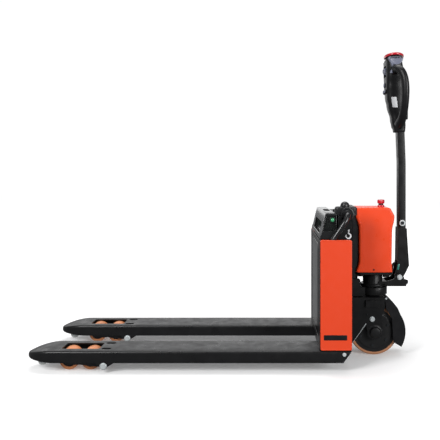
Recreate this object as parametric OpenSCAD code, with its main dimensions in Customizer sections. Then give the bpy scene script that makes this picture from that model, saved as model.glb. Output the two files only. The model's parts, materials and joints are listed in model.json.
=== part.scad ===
// Electric pallet truck: a fork frame that lifts on tandem load rollers, with a
// steered drive head, a hub-motor drive wheel and a tilting tiller.
// +X runs from the fork tips to the operator, +Z is up, and left is -Y.
// Every length is in millimetres.

/* [Forks] */
// Length of a fork, from its tip to the front cover
fork_len = 1150; // [1000:10:1150]
// Width of one fork
fork_w = 155; // [150:1:165]
// Width over both forks
fork_span = 540; // [530:5:560]
// Height of the fork deck when lowered
fork_top = 85; // [85:1:90]
// Depth of the fork channel
fork_depth = 45; // [44:1:46]
// Thickness of the folded fork sheet
fork_sheet = 5; // [4:0.5:5]

/* [Lift linkage] */
// Lift stroke of the fork frame
stroke = 105; // [90:1:105]
// Radius of a load roller
roller_r = 40; // [37:1:40]
// Width of a load roller
roller_w = 70; // [60:1:70]
// Distance between the two rollers of a bogie
roller_pitch = 85; // [83:1:86]
// Radius of the short levers that carry the push rod
lever_r = 30; // [26:1:30]

/* [Drive head] */
// Radius of the drive wheel
wheel_r = 105; // [100:1:105]
// Width of the drive wheel tread
wheel_w = 70; // [60:1:72]
// Top of the drive head cover
cover_top = 628; // [620:1:636]

/* [Tiller] */
// Height of the tiller pivot
pivot_z = 331; // [328:1:334]
// Distance of the tiller pivot behind the steering axis
pivot_reach = 108; // [106:1:110]
// Radius of a hand grip
grip_r = 17; // [14:1:18]

/* [Hidden] */
$fn = 64;

fit = 0.05;             // radial clearance of a shaft in its bore
gap = 0.5;              // clearance between parts that only meet
left = -1;
right = 1;

// Places along X
heel_x = 375;           // face of the front cover
tip_x = heel_x - fork_len;
axis_x = 624;           // steering axis and drive axle
ram_x = 470;            // lift cylinder and its rod
frame_back_x = 490;     // back of the fork frame
fork_back_x = 499;      // back of the fork channels

// Heights
fork_low = fork_top - fork_depth;
fork_y = (fork_span - fork_w) / 2;
box_top = 512;          // top of the front cover and side panels
deck_z = 604;           // top of the mast

// Roller arm and bogie
arm_x = tip_x + 314;    // pivot of the roller arm
arm_z = 28;
bogie_x = tip_x + 209;  // middle of the bogie
arm_run = arm_x - bogie_x;
arm_rise = roller_r - arm_z;
arm_len = norm([arm_run, arm_rise]);
swing = asin((stroke - arm_rise) / arm_len) + atan2(arm_rise, arm_run);
lever_angle = 90 - swing / 2;
rod_pin_x = arm_x + lever_r * cos(lever_angle);
rod_pin_z = arm_z + lever_r * sin(lever_angle);

// Bell crank
crank_x = 410;
crank_z = 98;
crank_pin_x = crank_x + lever_r * cos(lever_angle);
crank_pin_z = crank_z - lever_r * sin(lever_angle);
crank_len = stroke / (2 * sin(swing / 2));
crank_end_x = crank_x + crank_len * cos(swing / 2);
crank_end_z = crank_z + crank_len * sin(swing / 2);
crank_roller_r = 9;
foot_z = crank_end_z + crank_roller_r + 2;
crank_arm_y = 32;       // the two long levers stand this far off the middle

// Drive head
ring_r = 61;            // bearing housing
ring_low = 258;
ring_high = 288;
column_r = 30;
base_z = 346;           // top of the column, where the head base sits
cover_low = 358;
cover_half = 80;
cover_front_x = axis_x - 82;
arm_y = 56;             // inner face of a yoke arm
yoke_t = 12;
guard_r = 130;
pivot_x = axis_x + pivot_reach;

// Tiller head
head_z = 948;
head_top = 1262;
tube_x = 747;
tube_depth = 31;
tube_w = 50;
tube_bend_z = 830;
tube_lean = 7;          // how far the tube leans forwards above its bend

// Route of the battery lead, from its gland down behind the left side panel to the battery
lead_r = 11;
lead_route = [
    [489, -212, 612], [489, -226, 612], [487, -239, 606], [480, -248, 591],
    [470, -252, 575], [459, -252, 558], [448, -252, 542], [438, -252, 527],
    [430, -252, 513], [424, -250, 499], [420, -244, 484], [418, -234, 471],
    [418, -220, 464], [418, -206, 462], [418, -191, 462]
];
// Route of the control cable, from the tiller foot to the head base
cable_r = 5;
cable_end_x = 730.2;    // wall of the foot that the cable leaves
cable_route = [
    [730, -12, 388], [720, -12, 388], [713, -12, 385], [708, -12, 377], [706, -12, 366],
    [704, -12, 354], [699, -12, 343], [691, -12, 335], [680, -12, 331], [666, -12, 331]
];
// Centre line of the left hand grip
grip_route = [
    [706, -44, 1208], [710, -66, 1211], [717, -88, 1207], [726, -104, 1195],
    [734, -112, 1174], [739, -115, 1147], [741, -114, 1116], [741, -109, 1084],
    [740, -99, 1050], [738, -84, 1020], [735, -66, 998], [732, -48, 985],
    [729, -34, 978]
];

// ---- Helpers -----------------------------------------------------------

function arc(cx, cy, r, from, to, steps) =
    [for (i = [0 : steps]) let (a = from + (to - from) * i / steps)
        [cx + r * cos(a), cy + r * sin(a)]];

function round_box(x0, y0, x1, y1, r, steps = 6) = concat(
    arc(x1 - r, y1 - r, r, 0, 90, steps),
    arc(x0 + r, y1 - r, r, 90, 180, steps),
    arc(x0 + r, y0 + r, r, 180, 270, steps),
    arc(x1 - r, y0 + r, r, 270, 360, steps));

// A rounded bar outline between two points of the XZ plane
function bar_outline(x0, z0, r0, x1, z1, r1, steps = 12) =
    let (a = atan2(z1 - z0, x1 - x0))
    concat(arc(x1, z1, r1, a - 90, a + 90, steps),
           arc(x0, z0, r0, a + 90, a + 270, steps));

// Rings of a round tube along a route
function unit(v) = v / norm(v);
function along(p, i) = unit(p[min(i + 1, len(p) - 1)] - p[max(i - 1, 0)]);
function side_of(t, up) = unit(cross(t, up));
function ring(c, t, up, r, n) =
    let (u = side_of(t, up), v = cross(u, t))
    [for (k = [0 : n - 1]) c + r * (cos(360 * k / n) * u + sin(360 * k / n) * v)];

module tube_along(route, r, up, n = 12) {
    count = len(route);
    points = [for (i = [0 : count - 1]) each ring(route[i], along(route, i), up, r, n)];
    sides = [for (i = [0 : count - 2], k = [0 : n - 1]) let (
            a = i * n + k, b = i * n + (k + 1) % n)
        each [[a, b, b + n], [a, b + n, a + n]]];
    first = [for (k = [n - 1 : -1 : 0]) k];
    last = [for (k = [0 : n - 1]) (count - 1) * n + k];
    polyhedron(points, concat([first], sides, [last]));
}

// An XZ outline made solid between two values of Y
module slab(points, y0, y1) {
    translate([0, y1, 0])
        rotate([90, 0, 0])
            linear_extrude(y1 - y0)
                polygon(points);
}

module block(x0, y0, z0, x1, y1, z1) {
    translate([x0, y0, z0])
        cube([x1 - x0, y1 - y0, z1 - z0]);
}

module rod_y(x, z, r, y0, y1) {
    translate([x, y0, z])
        rotate([-90, 0, 0])
            cylinder(h = y1 - y0, r = r);
}

module rod_x(y, z, r, x0, x1) {
    translate([x0, y, z])
        rotate([0, 90, 0])
            cylinder(h = x1 - x0, r = r);
}

module rod_z(x, y, r, z0, z1) {
    translate([x, y, z0])
        cylinder(h = z1 - z0, r = r);
}

module both_sides() {
    children();
    mirror([0, 1, 0])
        children();
}

module on_fork(side) {
    translate([0, side * fork_y, 0])
        children();
}

module hex_bolt_y(x, z, r, y, side, t = 6) {
    translate([x, y, z])
        rotate([side < 0 ? 90 : -90, 0, 0]) {
            cylinder(h = 2, r = r * 1.25);
            translate([0, 0, 2])
                cylinder(h = t, r = r, $fn = 6);
        }
}

// ---- Fork frame --------------------------------------------------------

bend = 7;               // fold of the fork sheet along its top edges
nose_len = 110;
nose_x = tip_x + nose_len;
deck_end_x = heel_x - 1;  // the load deck ends here, and the heel is a little lower
heel_drop = 0.5;
opening_x0 = tip_x + 139;
opening_x1 = tip_x + 288;
slot_x0 = tip_x + 296;
slot_x1 = tip_x + 335;
slot_y = 37.5;
entry_x = tip_x + 58;
entry_z = 33;
entry_r = 18;
lug_low = arm_z - 13;

module fork_section() {
    h = fork_w / 2;
    t = fork_sheet;
    polygon([
        [-h, fork_low], [-h, fork_top - bend], [bend - h, fork_top],
        [h - bend, fork_top], [h, fork_top - bend], [h, fork_low],
        [h - t, fork_low], [h - t, fork_top - bend - 2], [h - bend - 2, fork_top - t],
        [bend + 2 - h, fork_top - t], [t - h, fork_top - bend - 2], [t - h, fork_low]
    ]);
}

// The nose narrows along an ellipse, and drops and rises to a blunt tip
module nose() {
    half = fork_w / 2;
    steps = 18;
    plan = [for (i = [-steps : steps]) let (a = 90 * i / steps)
        [nose_x - nose_len * cos(a), half * sin(a)]];
    drop = 20;
    crown = [for (i = [0 : 6]) let (s = i / 6) [nose_x - nose_len * s, fork_top - drop * s * s]];
    side_view = concat([[nose_x, fork_low]], crown, [[tip_x, fork_low + 8]]);
    cavity = [[nose_x + 1, fork_low - 20], [nose_x + 1, fork_top - 9],
        [nose_x - 70, fork_top - 16], [nose_x - 84, fork_low - 20]];
    difference() {
        intersection() {
            linear_extrude(fork_top)
                polygon(plan);
            slab(side_view, -half, half);
        }
        slab(cavity, -34, 34);
        rod_y(entry_x, entry_z, 6 + fit, -60, 60);
    }
    for (s = [-1, 1])
        difference() {
            slab(bar_outline(entry_x, fork_low + 14, 13, entry_x, entry_z, 12),
                s > 0 ? 25 : -32, s > 0 ? 32 : -25);
            rod_y(entry_x, entry_z, 6 + fit, -60, 60);
        }
}

module pivot_lug(y0, y1) {
    lug = concat([[arm_x + 40, fork_low + 10], [arm_x - 30, fork_low + 10], [arm_x - 30, fork_low]],
        arc(arm_x, arm_z, arm_z - lug_low, 205, 335, 10), [[arm_x + 40, fork_low]]);
    difference() {
        slab(lug, y0, y1);
        rod_y(arm_x, arm_z, 8 + fit, y0 - 1, y1 + 1);
    }
}

module fork(side) {
    h = fork_w / 2;
    color([0.09, 0.09, 0.095])
        on_fork(side) {
            difference() {
                translate([fork_back_x, 0, 0])
                    rotate([90, 0, -90])
                        linear_extrude(fork_back_x - nose_x)
                            fork_section();
                block(opening_x0, -40, fork_top - 20, opening_x1, 40, fork_top + 1);
                for (y = [-slot_y, slot_y])
                    block(slot_x0, y - 10, fork_top - 20, slot_x1, y + 10, fork_top + 1);
                block(crank_x - 34, -16, fork_top - 20, crank_x + 66, 16, fork_top + 1);
                block(deck_end_x, -h - 1, fork_top - heel_drop, fork_back_x + 1, h + 1, fork_top + 1);
                // slanted heel end of the channel
                slab([[fork_back_x - 32, fork_low - 1], [fork_back_x + 1, fork_low - 1],
                    [fork_back_x + 1, fork_top - 6]], -h - 1, h + 1);
            }
            nose();
            pivot_lug(-h, fork_sheet - h);
            pivot_lug(h - fork_sheet, h);
            // straps across the open underside
            for (x = [tip_x + 440, tip_x + 700, tip_x + 960])
                block(x, -h + fork_sheet - 1, fork_low, x + 40, h - fork_sheet + 1, fork_low + 4);
        }
}

module fork_left() { fork(left); }
module fork_right() { fork(right); }

cheek_y = 52;           // inner face of the heel cheeks and the mast rails

module heel_frame() {
    inner = fork_y - fork_w / 2;
    color([0.09, 0.09, 0.095])
        difference() {
            union() {
                block(heel_x + 8, -inner, fork_low + 4, heel_x + 16, inner, fork_top + 20);
                both_sides() {
                    block(heel_x + 8, cheek_y, fork_low + 4, frame_back_x - 6 - gap, cheek_y + 8, 124);
                    block(fork_back_x - 22, cheek_y, fork_low + 4, fork_back_x - 14, inner, fork_top + 10);
                    // bearing block of the crank shaft on the fork
                    slab([[crank_x - 18, fork_top + gap / 5], [crank_x + 18, fork_top + gap / 5],
                        [crank_x + 16, crank_z + 15], [crank_x - 16, crank_z + 15]],
                        fork_y + 22, fork_y + 34);
                }
            }
            rod_y(crank_x, crank_z, 11 + fit, -300, 300);
        }
}

plate_y = fork_span / 2 - 16;   // outer face of the lower side plates
high_y = plate_y - 30;          // and of the upper ones, behind the hood
ledge_z = box_top - 4;

module mast_frame() {
    low_plate = [[heel_x + 8, fork_top + 1], [frame_back_x + 10, fork_top + 1],
        [frame_back_x + 14, 150], [frame_back_x + 14, ledge_z], [heel_x + 8, ledge_z]];
    high_plate = [[450, ledge_z - 6], [frame_back_x + 14, ledge_z - 6], [frame_back_x + 14, deck_z - 20],
        [frame_back_x - 2, deck_z], [456, deck_z], [450, deck_z - 8]];
    bay = cheek_y - 2;
    color([0.07, 0.07, 0.075])
        difference() {
            union() {
                both_sides() {
                    slab(low_plate, plate_y - 6, plate_y);
                    slab(high_plate, high_y - 6, high_y);
                    block(450, high_y - 6, ledge_z - 6, frame_back_x + 14, plate_y, ledge_z);
                    // guide rails of the lift carriage
                    block(ram_x - 8, cheek_y, 130, ram_x + 8, cheek_y + 10, deck_z - 4);
                    block(ram_x + 7, cheek_y, 130, frame_back_x, cheek_y + 6, deck_z - 4);
                }
                difference() {
                    union() {
                        block(frame_back_x - 6, 5 - plate_y, fork_top + 12,
                            frame_back_x, plate_y - 5, ledge_z);
                        block(frame_back_x - 6, 5 - high_y, ledge_z - 1,
                            frame_back_x, high_y - 5, deck_z - 4);
                    }
                    block(frame_back_x - 7, -bay, 0, frame_back_x + 1, bay, deck_z - 21);
                }
                // deck, carrying the lift rod in the middle
                block(452, 5 - high_y, deck_z - 8, frame_back_x, high_y - 5, deck_z);
                rod_z(ram_x, 0, 22, deck_z - 22, deck_z - 7);
            }
            rod_z(ram_x, 0, 10 + fit, deck_z - 40, deck_z + 10);
            // notches for the battery lead and the gland of its plug
            block(400, -plate_y - 1, 440, 446, 7 - plate_y, ledge_z + 1);
            block(466, -high_y - 1, deck_z - 14, 512, plug_y - 7, deck_z + 1);
        }
}

module front_cover() {
    half = plate_y;
    plan = [[heel_x + 7, -half], [heel_x + 2, -half + 4], [heel_x, -half + 12],
        [heel_x, half - 12], [heel_x + 2, half - 4], [heel_x + 7, half]];
    color([0.05, 0.05, 0.055])
        translate([0, 0, fork_top + 1])
            linear_extrude(box_top - fork_top - 2)
                polygon(plan);
}

panel_x0 = 378;
panel_x1 = 500;

module side_panel(side) {
    y0 = plate_y + gap;
    y1 = fork_span / 2 - 3;
    outline = round_box(panel_x0, fork_top + 2, panel_x1, box_top + 2, 4);
    color([0.93, 0.29, 0.15])
        difference() {
            mirror([0, side < 0 ? 1 : 0, 0])
                slab(outline, y0, y1);
            // hollow back of the moulding, where the battery lead runs
            mirror([0, side < 0 ? 1 : 0, 0])
                block(panel_x0 + 5, y0 - 1, fork_top + 8, panel_x1 - 5, y1 - 3, box_top - 4);
            // notch in the top edge, where the lead drops in
            if (side == left)
                block(412, 3 - y1, box_top - 20, 444, 1 - y0, box_top + 3);
        }
}

module side_panel_left() { side_panel(left); }
module side_panel_right() { side_panel(right); }

plug_y = -186;
dome_x = 482;

module battery_plug() {
    color([0.12, 0.12, 0.13])
        union() {
            // plug body along X, with rounded ends
            translate([0, 0, deck_z + gap / 5])
                linear_extrude(36)
                    polygon(round_box(441, plug_y - 18, 530, plug_y + 18, 14));
            rod_z(dome_x, plug_y, 18, deck_z + 35, deck_z + 38);
            translate([dome_x, plug_y, deck_z + 38])
                intersection() {
                    sphere(r = 18);
                    rod_z(0, 0, 19, 0, 19);
                }
            rod_y(489, 612, 19, plug_y - 26, plug_y - 8);
        }
}

module battery_lead() {
    color([0.04, 0.04, 0.045])
        tube_along(lead_route, lead_r, [0.83, 0, -0.55]);
}

module lift_rod() {
    color([0.8, 0.8, 0.82])
        union() {
            rod_z(ram_x, 0, 15, 320, deck_z - 22 - gap / 5);
            rod_z(ram_x, 0, 10, deck_z - 24, deck_z + 8);
        }
}

module rod_cap() {
    color([0.1, 0.1, 0.1])
        difference() {
            rod_z(ram_x, 0, 17, deck_z + gap / 5, deck_z + 14);
            rod_z(ram_x, 0, 10 + fit, deck_z - 1, deck_z + 8 + fit);
        }
}

// Every bolt and pin of the fork frame: the roller arm pivots, the nose axles,
// and the bolts at the heel
module frame_pins() {
    h = fork_w / 2;
    color([0.8, 0.82, 0.83])
        for (side = [left, right]) {
            on_fork(side) {
                rod_y(arm_x, arm_z, 8, -h - 1, h + 1);
                hex_bolt_y(arm_x, arm_z, 11, -h - fit, -1, 4);
                hex_bolt_y(arm_x, arm_z, 11, h + fit, 1, 4);
                rod_y(entry_x, entry_z, 6, -33, 33);
            }
            hex_bolt_y(fork_back_x - 29, 73, 6, side * (fork_span / 2 + fit), side, 4);
        }
}

// ---- Battery -----------------------------------------------------------

module battery_pack() {
    color([0.1, 0.1, 0.11])
        union() {
            block(heel_x + 10, -190, 210, 440, 190, box_top + 2);
            // locating strip under the pack
            block(heel_x + 20, -150, 196, 430, 150, 211);
        }
}

hood_low = box_top + 2.5;
hood_top = deck_z + 10;

module battery_hood() {
    half = fork_span / 2 - 30;
    profile = [[378, hood_low], [446, hood_low], [446, hood_top - 4],
        [442, hood_top], [408, hood_top], [400, hood_top - 6], [379, hood_low + 10]];
    // the two ends lean inwards
    front_view = [[-half, hood_low], [half, hood_low], [half - 4, hood_low + 34],
        [half - 20, hood_top], [20 - half, hood_top], [4 - half, hood_low + 34]];
    grip = [[414, hood_top - 16], [436, hood_top - 16], [436, hood_top + 1], [414, hood_top + 1]];
    color([0.06, 0.07, 0.065])
        difference() {
            intersection() {
                slab(profile, -half, half);
                translate([300, 0, 0])
                    rotate([90, 0, 90])
                        linear_extrude(200)
                            polygon(front_view);
            }
            slab(grip, -60, 60);
            rod_y(430, hood_top - 26, 8 + fit, -half - 1, -half + 22);
            // room for the plug, all the way down, so that the hood can lift off past it
            block(440.4, plug_y - 18.6, hood_low - 1, 447, plug_y + 18.6, hood_top + 1);
        }
}

module status_lamp() {
    half = fork_span / 2 - 30;
    color([0.25, 0.75, 0.45])
        rod_y(430, hood_top - 26, 8, -half + 10, -half + 21);
}

// ---- Lift carriage -----------------------------------------------------

module lift_carriage() {
    half = 46;
    foot_back_x = 502;
    foot_half = 27.3;       // the foot passes between the crank's two long levers
    cheek = [[445, foot_z], [foot_back_x, foot_z], [foot_back_x, 253], [axis_x - 40, 253],
        [axis_x - 40, ring_high], [568, ring_high + 1], [565, 302], [565, 320], [559, 326], [445, 326]];
    color([0.08, 0.08, 0.085])
        difference() {
            union() {
                both_sides()
                    slab(cheek, half - 8, half);
                block(445, -foot_half, foot_z, foot_back_x, foot_half, foot_z + 9);
                block(foot_back_x - 11.5, -half, foot_z, foot_back_x, half, foot_z + 9);
                block(foot_back_x - 2, -half, ring_low + 4, axis_x - 40, half, ring_low + 14);
                rod_z(axis_x, 0, ring_r, ring_low, ring_high);
                rod_z(ram_x, 0, foot_half, foot_z, foot_z + 18);
            }
            rod_z(axis_x, 0, 47 + fit, ring_low - 1, ring_high + 1);
            rod_z(ram_x, 0, 25 + fit, foot_z + 12, foot_z + 40);
        }
}

module lift_cylinder() {
    low = foot_z + 12 + gap / 5;
    color([0.12, 0.12, 0.12])
        difference() {
            union() {
                rod_z(ram_x, 0, 25, low, 470);
                rod_z(ram_x, 0, 29, 446, 476);
            }
            rod_z(ram_x, 0, 19, low + 8, 440);
            rod_z(ram_x, 0, 15 + fit, 430, 480);
        }
}

module steer_bearing() {
    color([0.6, 0.6, 0.62])
        difference() {
            rod_z(axis_x, 0, 47, ring_low + 2, ring_high - 2);
            rod_z(axis_x, 0, column_r + fit, ring_low, ring_high);
        }
}

// ---- Drive head --------------------------------------------------------

module steer_column() {
    color([0.07, 0.07, 0.075])
        union() {
            rod_z(axis_x, 0, column_r, 250 + fit, ring_high + 3);
            rod_z(axis_x, 0, 52, ring_high + 2, ring_high + 14);
            rod_z(axis_x, 0, 42, ring_high + 13, base_z - fit);
        }
}

module yoke_arm(y0, y1) {
    // a wing in front of the wheel, cut away below along a slant
    outline = concat([[axis_x - 98, 250], [axis_x - 98, 57], [axis_x - 38, wheel_r + 37]],
        arc(axis_x, wheel_r, 33, 195, 345, 14),
        [[axis_x + 28, 170], [axis_x + 40, 205], [axis_x + 40, 250]]);
    difference() {
        slab(outline, y0, y1);
        rod_y(axis_x, wheel_r, 12 + fit, y0 - 1, y1 + 1);
    }
}

module drive_yoke() {
    color([0.06, 0.06, 0.065])
        union() {
            yoke_arm(arm_y, arm_y + yoke_t);
            yoke_arm(-arm_y - yoke_t, -arm_y);
            difference() {
                block(axis_x - 98, -arm_y - yoke_t, 236, axis_x + 40, arm_y + yoke_t, 250);
                rod_z(axis_x, 0, column_r - 6, 230, 260);
            }
            // terminal box on the left arm
            block(axis_x - 41, -arm_y - yoke_t - 11, 212, axis_x + 18, -arm_y - yoke_t + 1, 239);
        }
}

// The fixed axle of the hub motor, its nuts, and the clamp bolts of the arms
module yoke_bolts() {
    out = arm_y + yoke_t + fit;
    color([0.8, 0.82, 0.83])
        union() {
            rod_y(axis_x, wheel_r, 12, -out - 1, out + 1);
            hex_bolt_y(axis_x, wheel_r, 15, -out, -1, 9);
            hex_bolt_y(axis_x, wheel_r, 15, out, 1, 9);
            hex_bolt_y(axis_x - 13, 160, 9, -out, -1, 5);
            hex_bolt_y(axis_x - 13, 160, 9, out, 1, 5);
        }
}

module mudguard() {
    t = 4;
    half = 56;
    // outer line: round the wheel, then straight up to the yoke
    outer = concat(arc(axis_x, wheel_r, guard_r, -30, 33, 14),
        [[axis_x + 97, 204], [axis_x + 77, 229], [axis_x + 50, 254]]);
    inner = concat([[axis_x + 47, 254 - 1.5 * t], [axis_x + 74, 229 - t], [axis_x + 94, 204 - t / 2]],
        arc(axis_x, wheel_r, guard_r - t, 33, -30, 14));
    wall = concat(outer, [[axis_x + 43, 246], [axis_x + 48, 200], [axis_x + 73, 160],
        [axis_x + 76, 100], [axis_x + 80, 59]]);
    color([0.05, 0.05, 0.055])
        difference() {
            union() {
                slab(concat(outer, inner), -half, half);
                slab(wall, half - t, half);
                slab(wall, -half, t - half);
                // tab that bolts to the yoke plate
                block(axis_x + 41, -half, 236, axis_x + 56, half, 240);
            }
            slab([[axis_x + 40.5, 230], [axis_x + 30, 260], [axis_x + 30, 230]], -half - 1, half + 1);
        }
}

module head_base() {
    outline = round_box(cover_front_x + 8, -cover_half + 7, axis_x + 62, cover_half - 7, 14);
    color([0.06, 0.06, 0.065])
        translate([0, 0, base_z])
            linear_extrude(11)
                polygon(outline);
}

// Side view of the cover: waisted in front and behind, with a crest behind
function waist(x, top_out, bottom_out) = [
    [x + bottom_out, cover_low], [x + bottom_out * 0.5, cover_low + 22],
    [x, cover_low + 52], [x, cover_top - 76], [x + top_out * 0.4, cover_top - 56],
    [x + top_out, cover_top - 32]
];

function cover_profile(d) = concat(
    waist(cover_front_x + 12 + d, -11, -11),
    [[cover_front_x + 1 + d, cover_top - 5 - d], [cover_front_x + 6 + d, cover_top - d],
     [axis_x + 62 - d, cover_top - d], [axis_x + 80 - d, cover_top - 34],
     [axis_x + 77 - d, cover_top - 62], [axis_x + 70 - d, cover_top - 92],
     [axis_x + 68 - d, cover_low + 40], [axis_x + 71 - d, cover_low]]);

stop_x = 660;

module rear_cover() {
    wall = 4;
    color([0.93, 0.29, 0.15])
        difference() {
            intersection() {
                slab(cover_profile(0), -cover_half, cover_half);
                translate([0, 0, cover_low])
                    linear_extrude(cover_top - cover_low)
                        polygon(round_box(cover_front_x - 4, -cover_half, axis_x + 81, cover_half, 14));
            }
            intersection() {
                slab(cover_profile(wall), -cover_half + wall, cover_half - wall);
                translate([0, 0, cover_low - 1])
                    linear_extrude(cover_top - cover_low - wall)
                        polygon(round_box(cover_front_x, wall - cover_half, axis_x + 77, cover_half - wall, 10));
            }
            slab([[axis_x - 60, cover_low - 1], [axis_x + 58, cover_low - 1],
                [axis_x + 54, cover_low + 8], [axis_x - 60, cover_low + 8]],
                wall - cover_half, cover_half - wall);
            rod_z(stop_x, 0, 11 + fit, cover_top - 10, cover_top + 1);
        }
}

tank_x0 = 514;

// The tank fills the waist of the cover
module tank_housing() {
    half = 66;
    gap_x = 1.5;
    profile = concat([[tank_x0, 330]], [[cover_front_x, 330]],
        waist(cover_front_x + 12 - gap_x, -11, -11),
        [[cover_front_x, cover_top + 5], [tank_x0, cover_top + 5]]);
    color([0.05, 0.05, 0.055])
        union() {
            intersection() {
                slab(profile, -half, half);
                translate([0, 0, 320])
                    linear_extrude(330)
                        polygon(round_box(tank_x0, -half, cover_front_x + 30, half, 16));
            }
            // foot that carries the tank on the head base
            block(cover_front_x - 10, -40, base_z - 12, axis_x - 44, 40, base_z - gap);
        }
}

module pump_motor() {
    color([0.35, 0.36, 0.38])
        union() {
            rod_z(axis_x - 18, -2, 40, base_z + 11.5, base_z + 150);
            rod_z(axis_x - 18, -2, 26, base_z + 149, base_z + 172);
            block(axis_x + 26, -52, base_z + 11.5, axis_x + 46, 52, base_z + 130);
        }
}

module stop_collar() {
    color([0.35, 0.04, 0.06])
        difference() {
            union() {
                rod_z(stop_x, 0, 15, cover_top + fit, cover_top + 7);
                rod_z(stop_x, 0, 11, cover_top - 16, cover_top + 1);
            }
            rod_z(stop_x, 0, 7 + fit, cover_top - 20, cover_top + 10);
        }
}

module stop_button() {
    color([0.85, 0.1, 0.15])
        union() {
            rod_z(stop_x, 0, 7, cover_top - 12, cover_top + 17);
            rod_z(stop_x, 0, 16, cover_top + 14, cover_top + 31);
        }
}

ear_y = 34;             // inner face of a bracket ear

module tiller_bracket() {
    ear = concat([[axis_x + 46, 293], [axis_x + 130, 293], [axis_x + 144, 307], [axis_x + 144, 318]],
        arc(pivot_x, pivot_z, 17, -20, 150, 10), [[axis_x + 84, 322], [axis_x + 46, 312]]);
    color([0.06, 0.06, 0.065])
        difference() {
            union() {
                slab(ear, ear_y, ear_y + 8);
                slab(ear, -ear_y - 8, -ear_y);
                block(axis_x + 53, -ear_y - 8, 293, axis_x + 136, ear_y + 8, 300);
                difference() {
                    block(axis_x + 20, -ear_y - 8, ring_high + 14.5, axis_x + 52, ear_y + 8, ring_high + 26);
                    rod_z(axis_x, 0, 42 + fit, ring_high, 360);
                }
            }
            rod_y(pivot_x, pivot_z, 9 + fit, -60, 60);
        }
}

module tiller_pin() {
    out = ear_y + 8 + fit;
    color([0.8, 0.82, 0.83])
        union() {
            rod_y(pivot_x, pivot_z, 9, -out - 1, out + 1);
            hex_bolt_y(pivot_x, pivot_z, 9, -out, -1, 5);
            hex_bolt_y(pivot_x, pivot_z, 9, out, 1, 5);
        }
}

// Torsion spring round the pivot, with one leg on the bracket and one on the tiller
module return_spring() {
    turns = 3;
    steps = 16;
    wire = 1.8;
    r = 12.4;
    y0 = -9;
    y1 = 9;
    coil = [for (i = [0 : turns * steps]) let (a = 360 * i / steps)
        [pivot_x + r * cos(a - 90), y0 + (y1 - y0) * i / (turns * steps), pivot_z + r * sin(a - 90)]];
    leg_low = [for (i = [3 : -1 : 1]) [pivot_x - 7 * i, y0, pivot_z - r - 0.6 * i]];
    leg_high = [for (i = [1 : 3]) [pivot_x + 7 * i, y1, pivot_z - r + 1.5 * i]];
    color([0.55, 0.56, 0.58])
        tube_along(concat(leg_low, coil, leg_high), wire, [0, 1, 0], 6);
}

module tiller_cable() {
    color([0.05, 0.05, 0.05])
        tube_along(cable_route, cable_r, [0, 1, 0], 8);
}

// ---- Drive wheel -------------------------------------------------------

rim_r = wheel_r - 13;

module drive_tyre() {
    half = wheel_w / 2;
    color([0.72, 0.42, 0.26])
        translate([axis_x, 0, wheel_r])
            rotate([90, 0, 0])
                rotate_extrude($fn = 96)
                    polygon([[rim_r + fit, -half], [wheel_r - 4, -half], [wheel_r, 4 - half],
                        [wheel_r, half - 4], [wheel_r - 4, half], [rim_r + fit, half]]);
}

module hub_motor() {
    half = wheel_w / 2;
    color([0.06, 0.06, 0.065])
        difference() {
            translate([axis_x, 0, wheel_r])
                rotate([90, 0, 0])
                    rotate_extrude($fn = 96)
                        polygon([[12 + fit, -half - 12], [30, -half - 12], [34, -half - 6],
                            [74, -half - 6], [80, -half - 1], [rim_r, -half - 1],
                            [rim_r, half + 1], [80, half + 1], [74, half + 6], [34, half + 6],
                            [30, half + 12], [12 + fit, half + 12]]);
            for (k = [0 : 5])
                for (s = [-1, 1])
                    hub_bolt_place(k)
                        rod_y(0, 0, 3 + fit, s > 0 ? half + 1 : -half - 12, s > 0 ? half + 12 : -half - 1);
        }
}

module hub_bolt_place(k) {
    a = 60 * k + 22;
    translate([axis_x + 62 * cos(a), 0, wheel_r + 62 * sin(a)])
        children();
}

module hub_bolts() {
    half = wheel_w / 2;
    color([0.7, 0.72, 0.73])
        for (k = [0 : 5])
            for (s = [-1, 1])
                hub_bolt_place(k) {
                    rod_y(0, 0, 3, s > 0 ? half + 2 : -half - 7, s > 0 ? half + 7 : -half - 2);
                    rod_y(0, 0, 5, s > 0 ? half + 6 + fit : -half - 10, s > 0 ? half + 10 : -half - 6 - fit);
                }
}

// ---- Tiller ------------------------------------------------------------

module tiller_foot() {
    outline = concat(
        [[tube_x - 19, 514], [tube_x - 21, 397], [tube_x - 27, 360]],
        arc(pivot_x, pivot_z, 18, 160, 360, 14),
        [[pivot_x + 30, 352], [pivot_x + 43, 380], [tube_x + 18, 537], [tube_x - 18, 541]]);
    color([0.05, 0.05, 0.055])
        difference() {
            slab(outline, -31, 31);
            // the tube socket, and the hollow round the pivot
            block(tube_x - tube_depth / 2 - fit, -tube_w / 2 - fit, 401, tube_x + tube_depth / 2 + fit,
                tube_w / 2 + fit, 560);
            slab([[tube_x - 40, 300], [pivot_x + 24, 300], [pivot_x + 24, 362], [cable_end_x, 366],
                [cable_end_x, 398], [tube_x - 40, 398]], -24, 24);
            rod_y(pivot_x, pivot_z, 9 + fit, -40, 40);
            rod_y(tube_x, 560, 6 + fit, -40, 40);
        }
}

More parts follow.
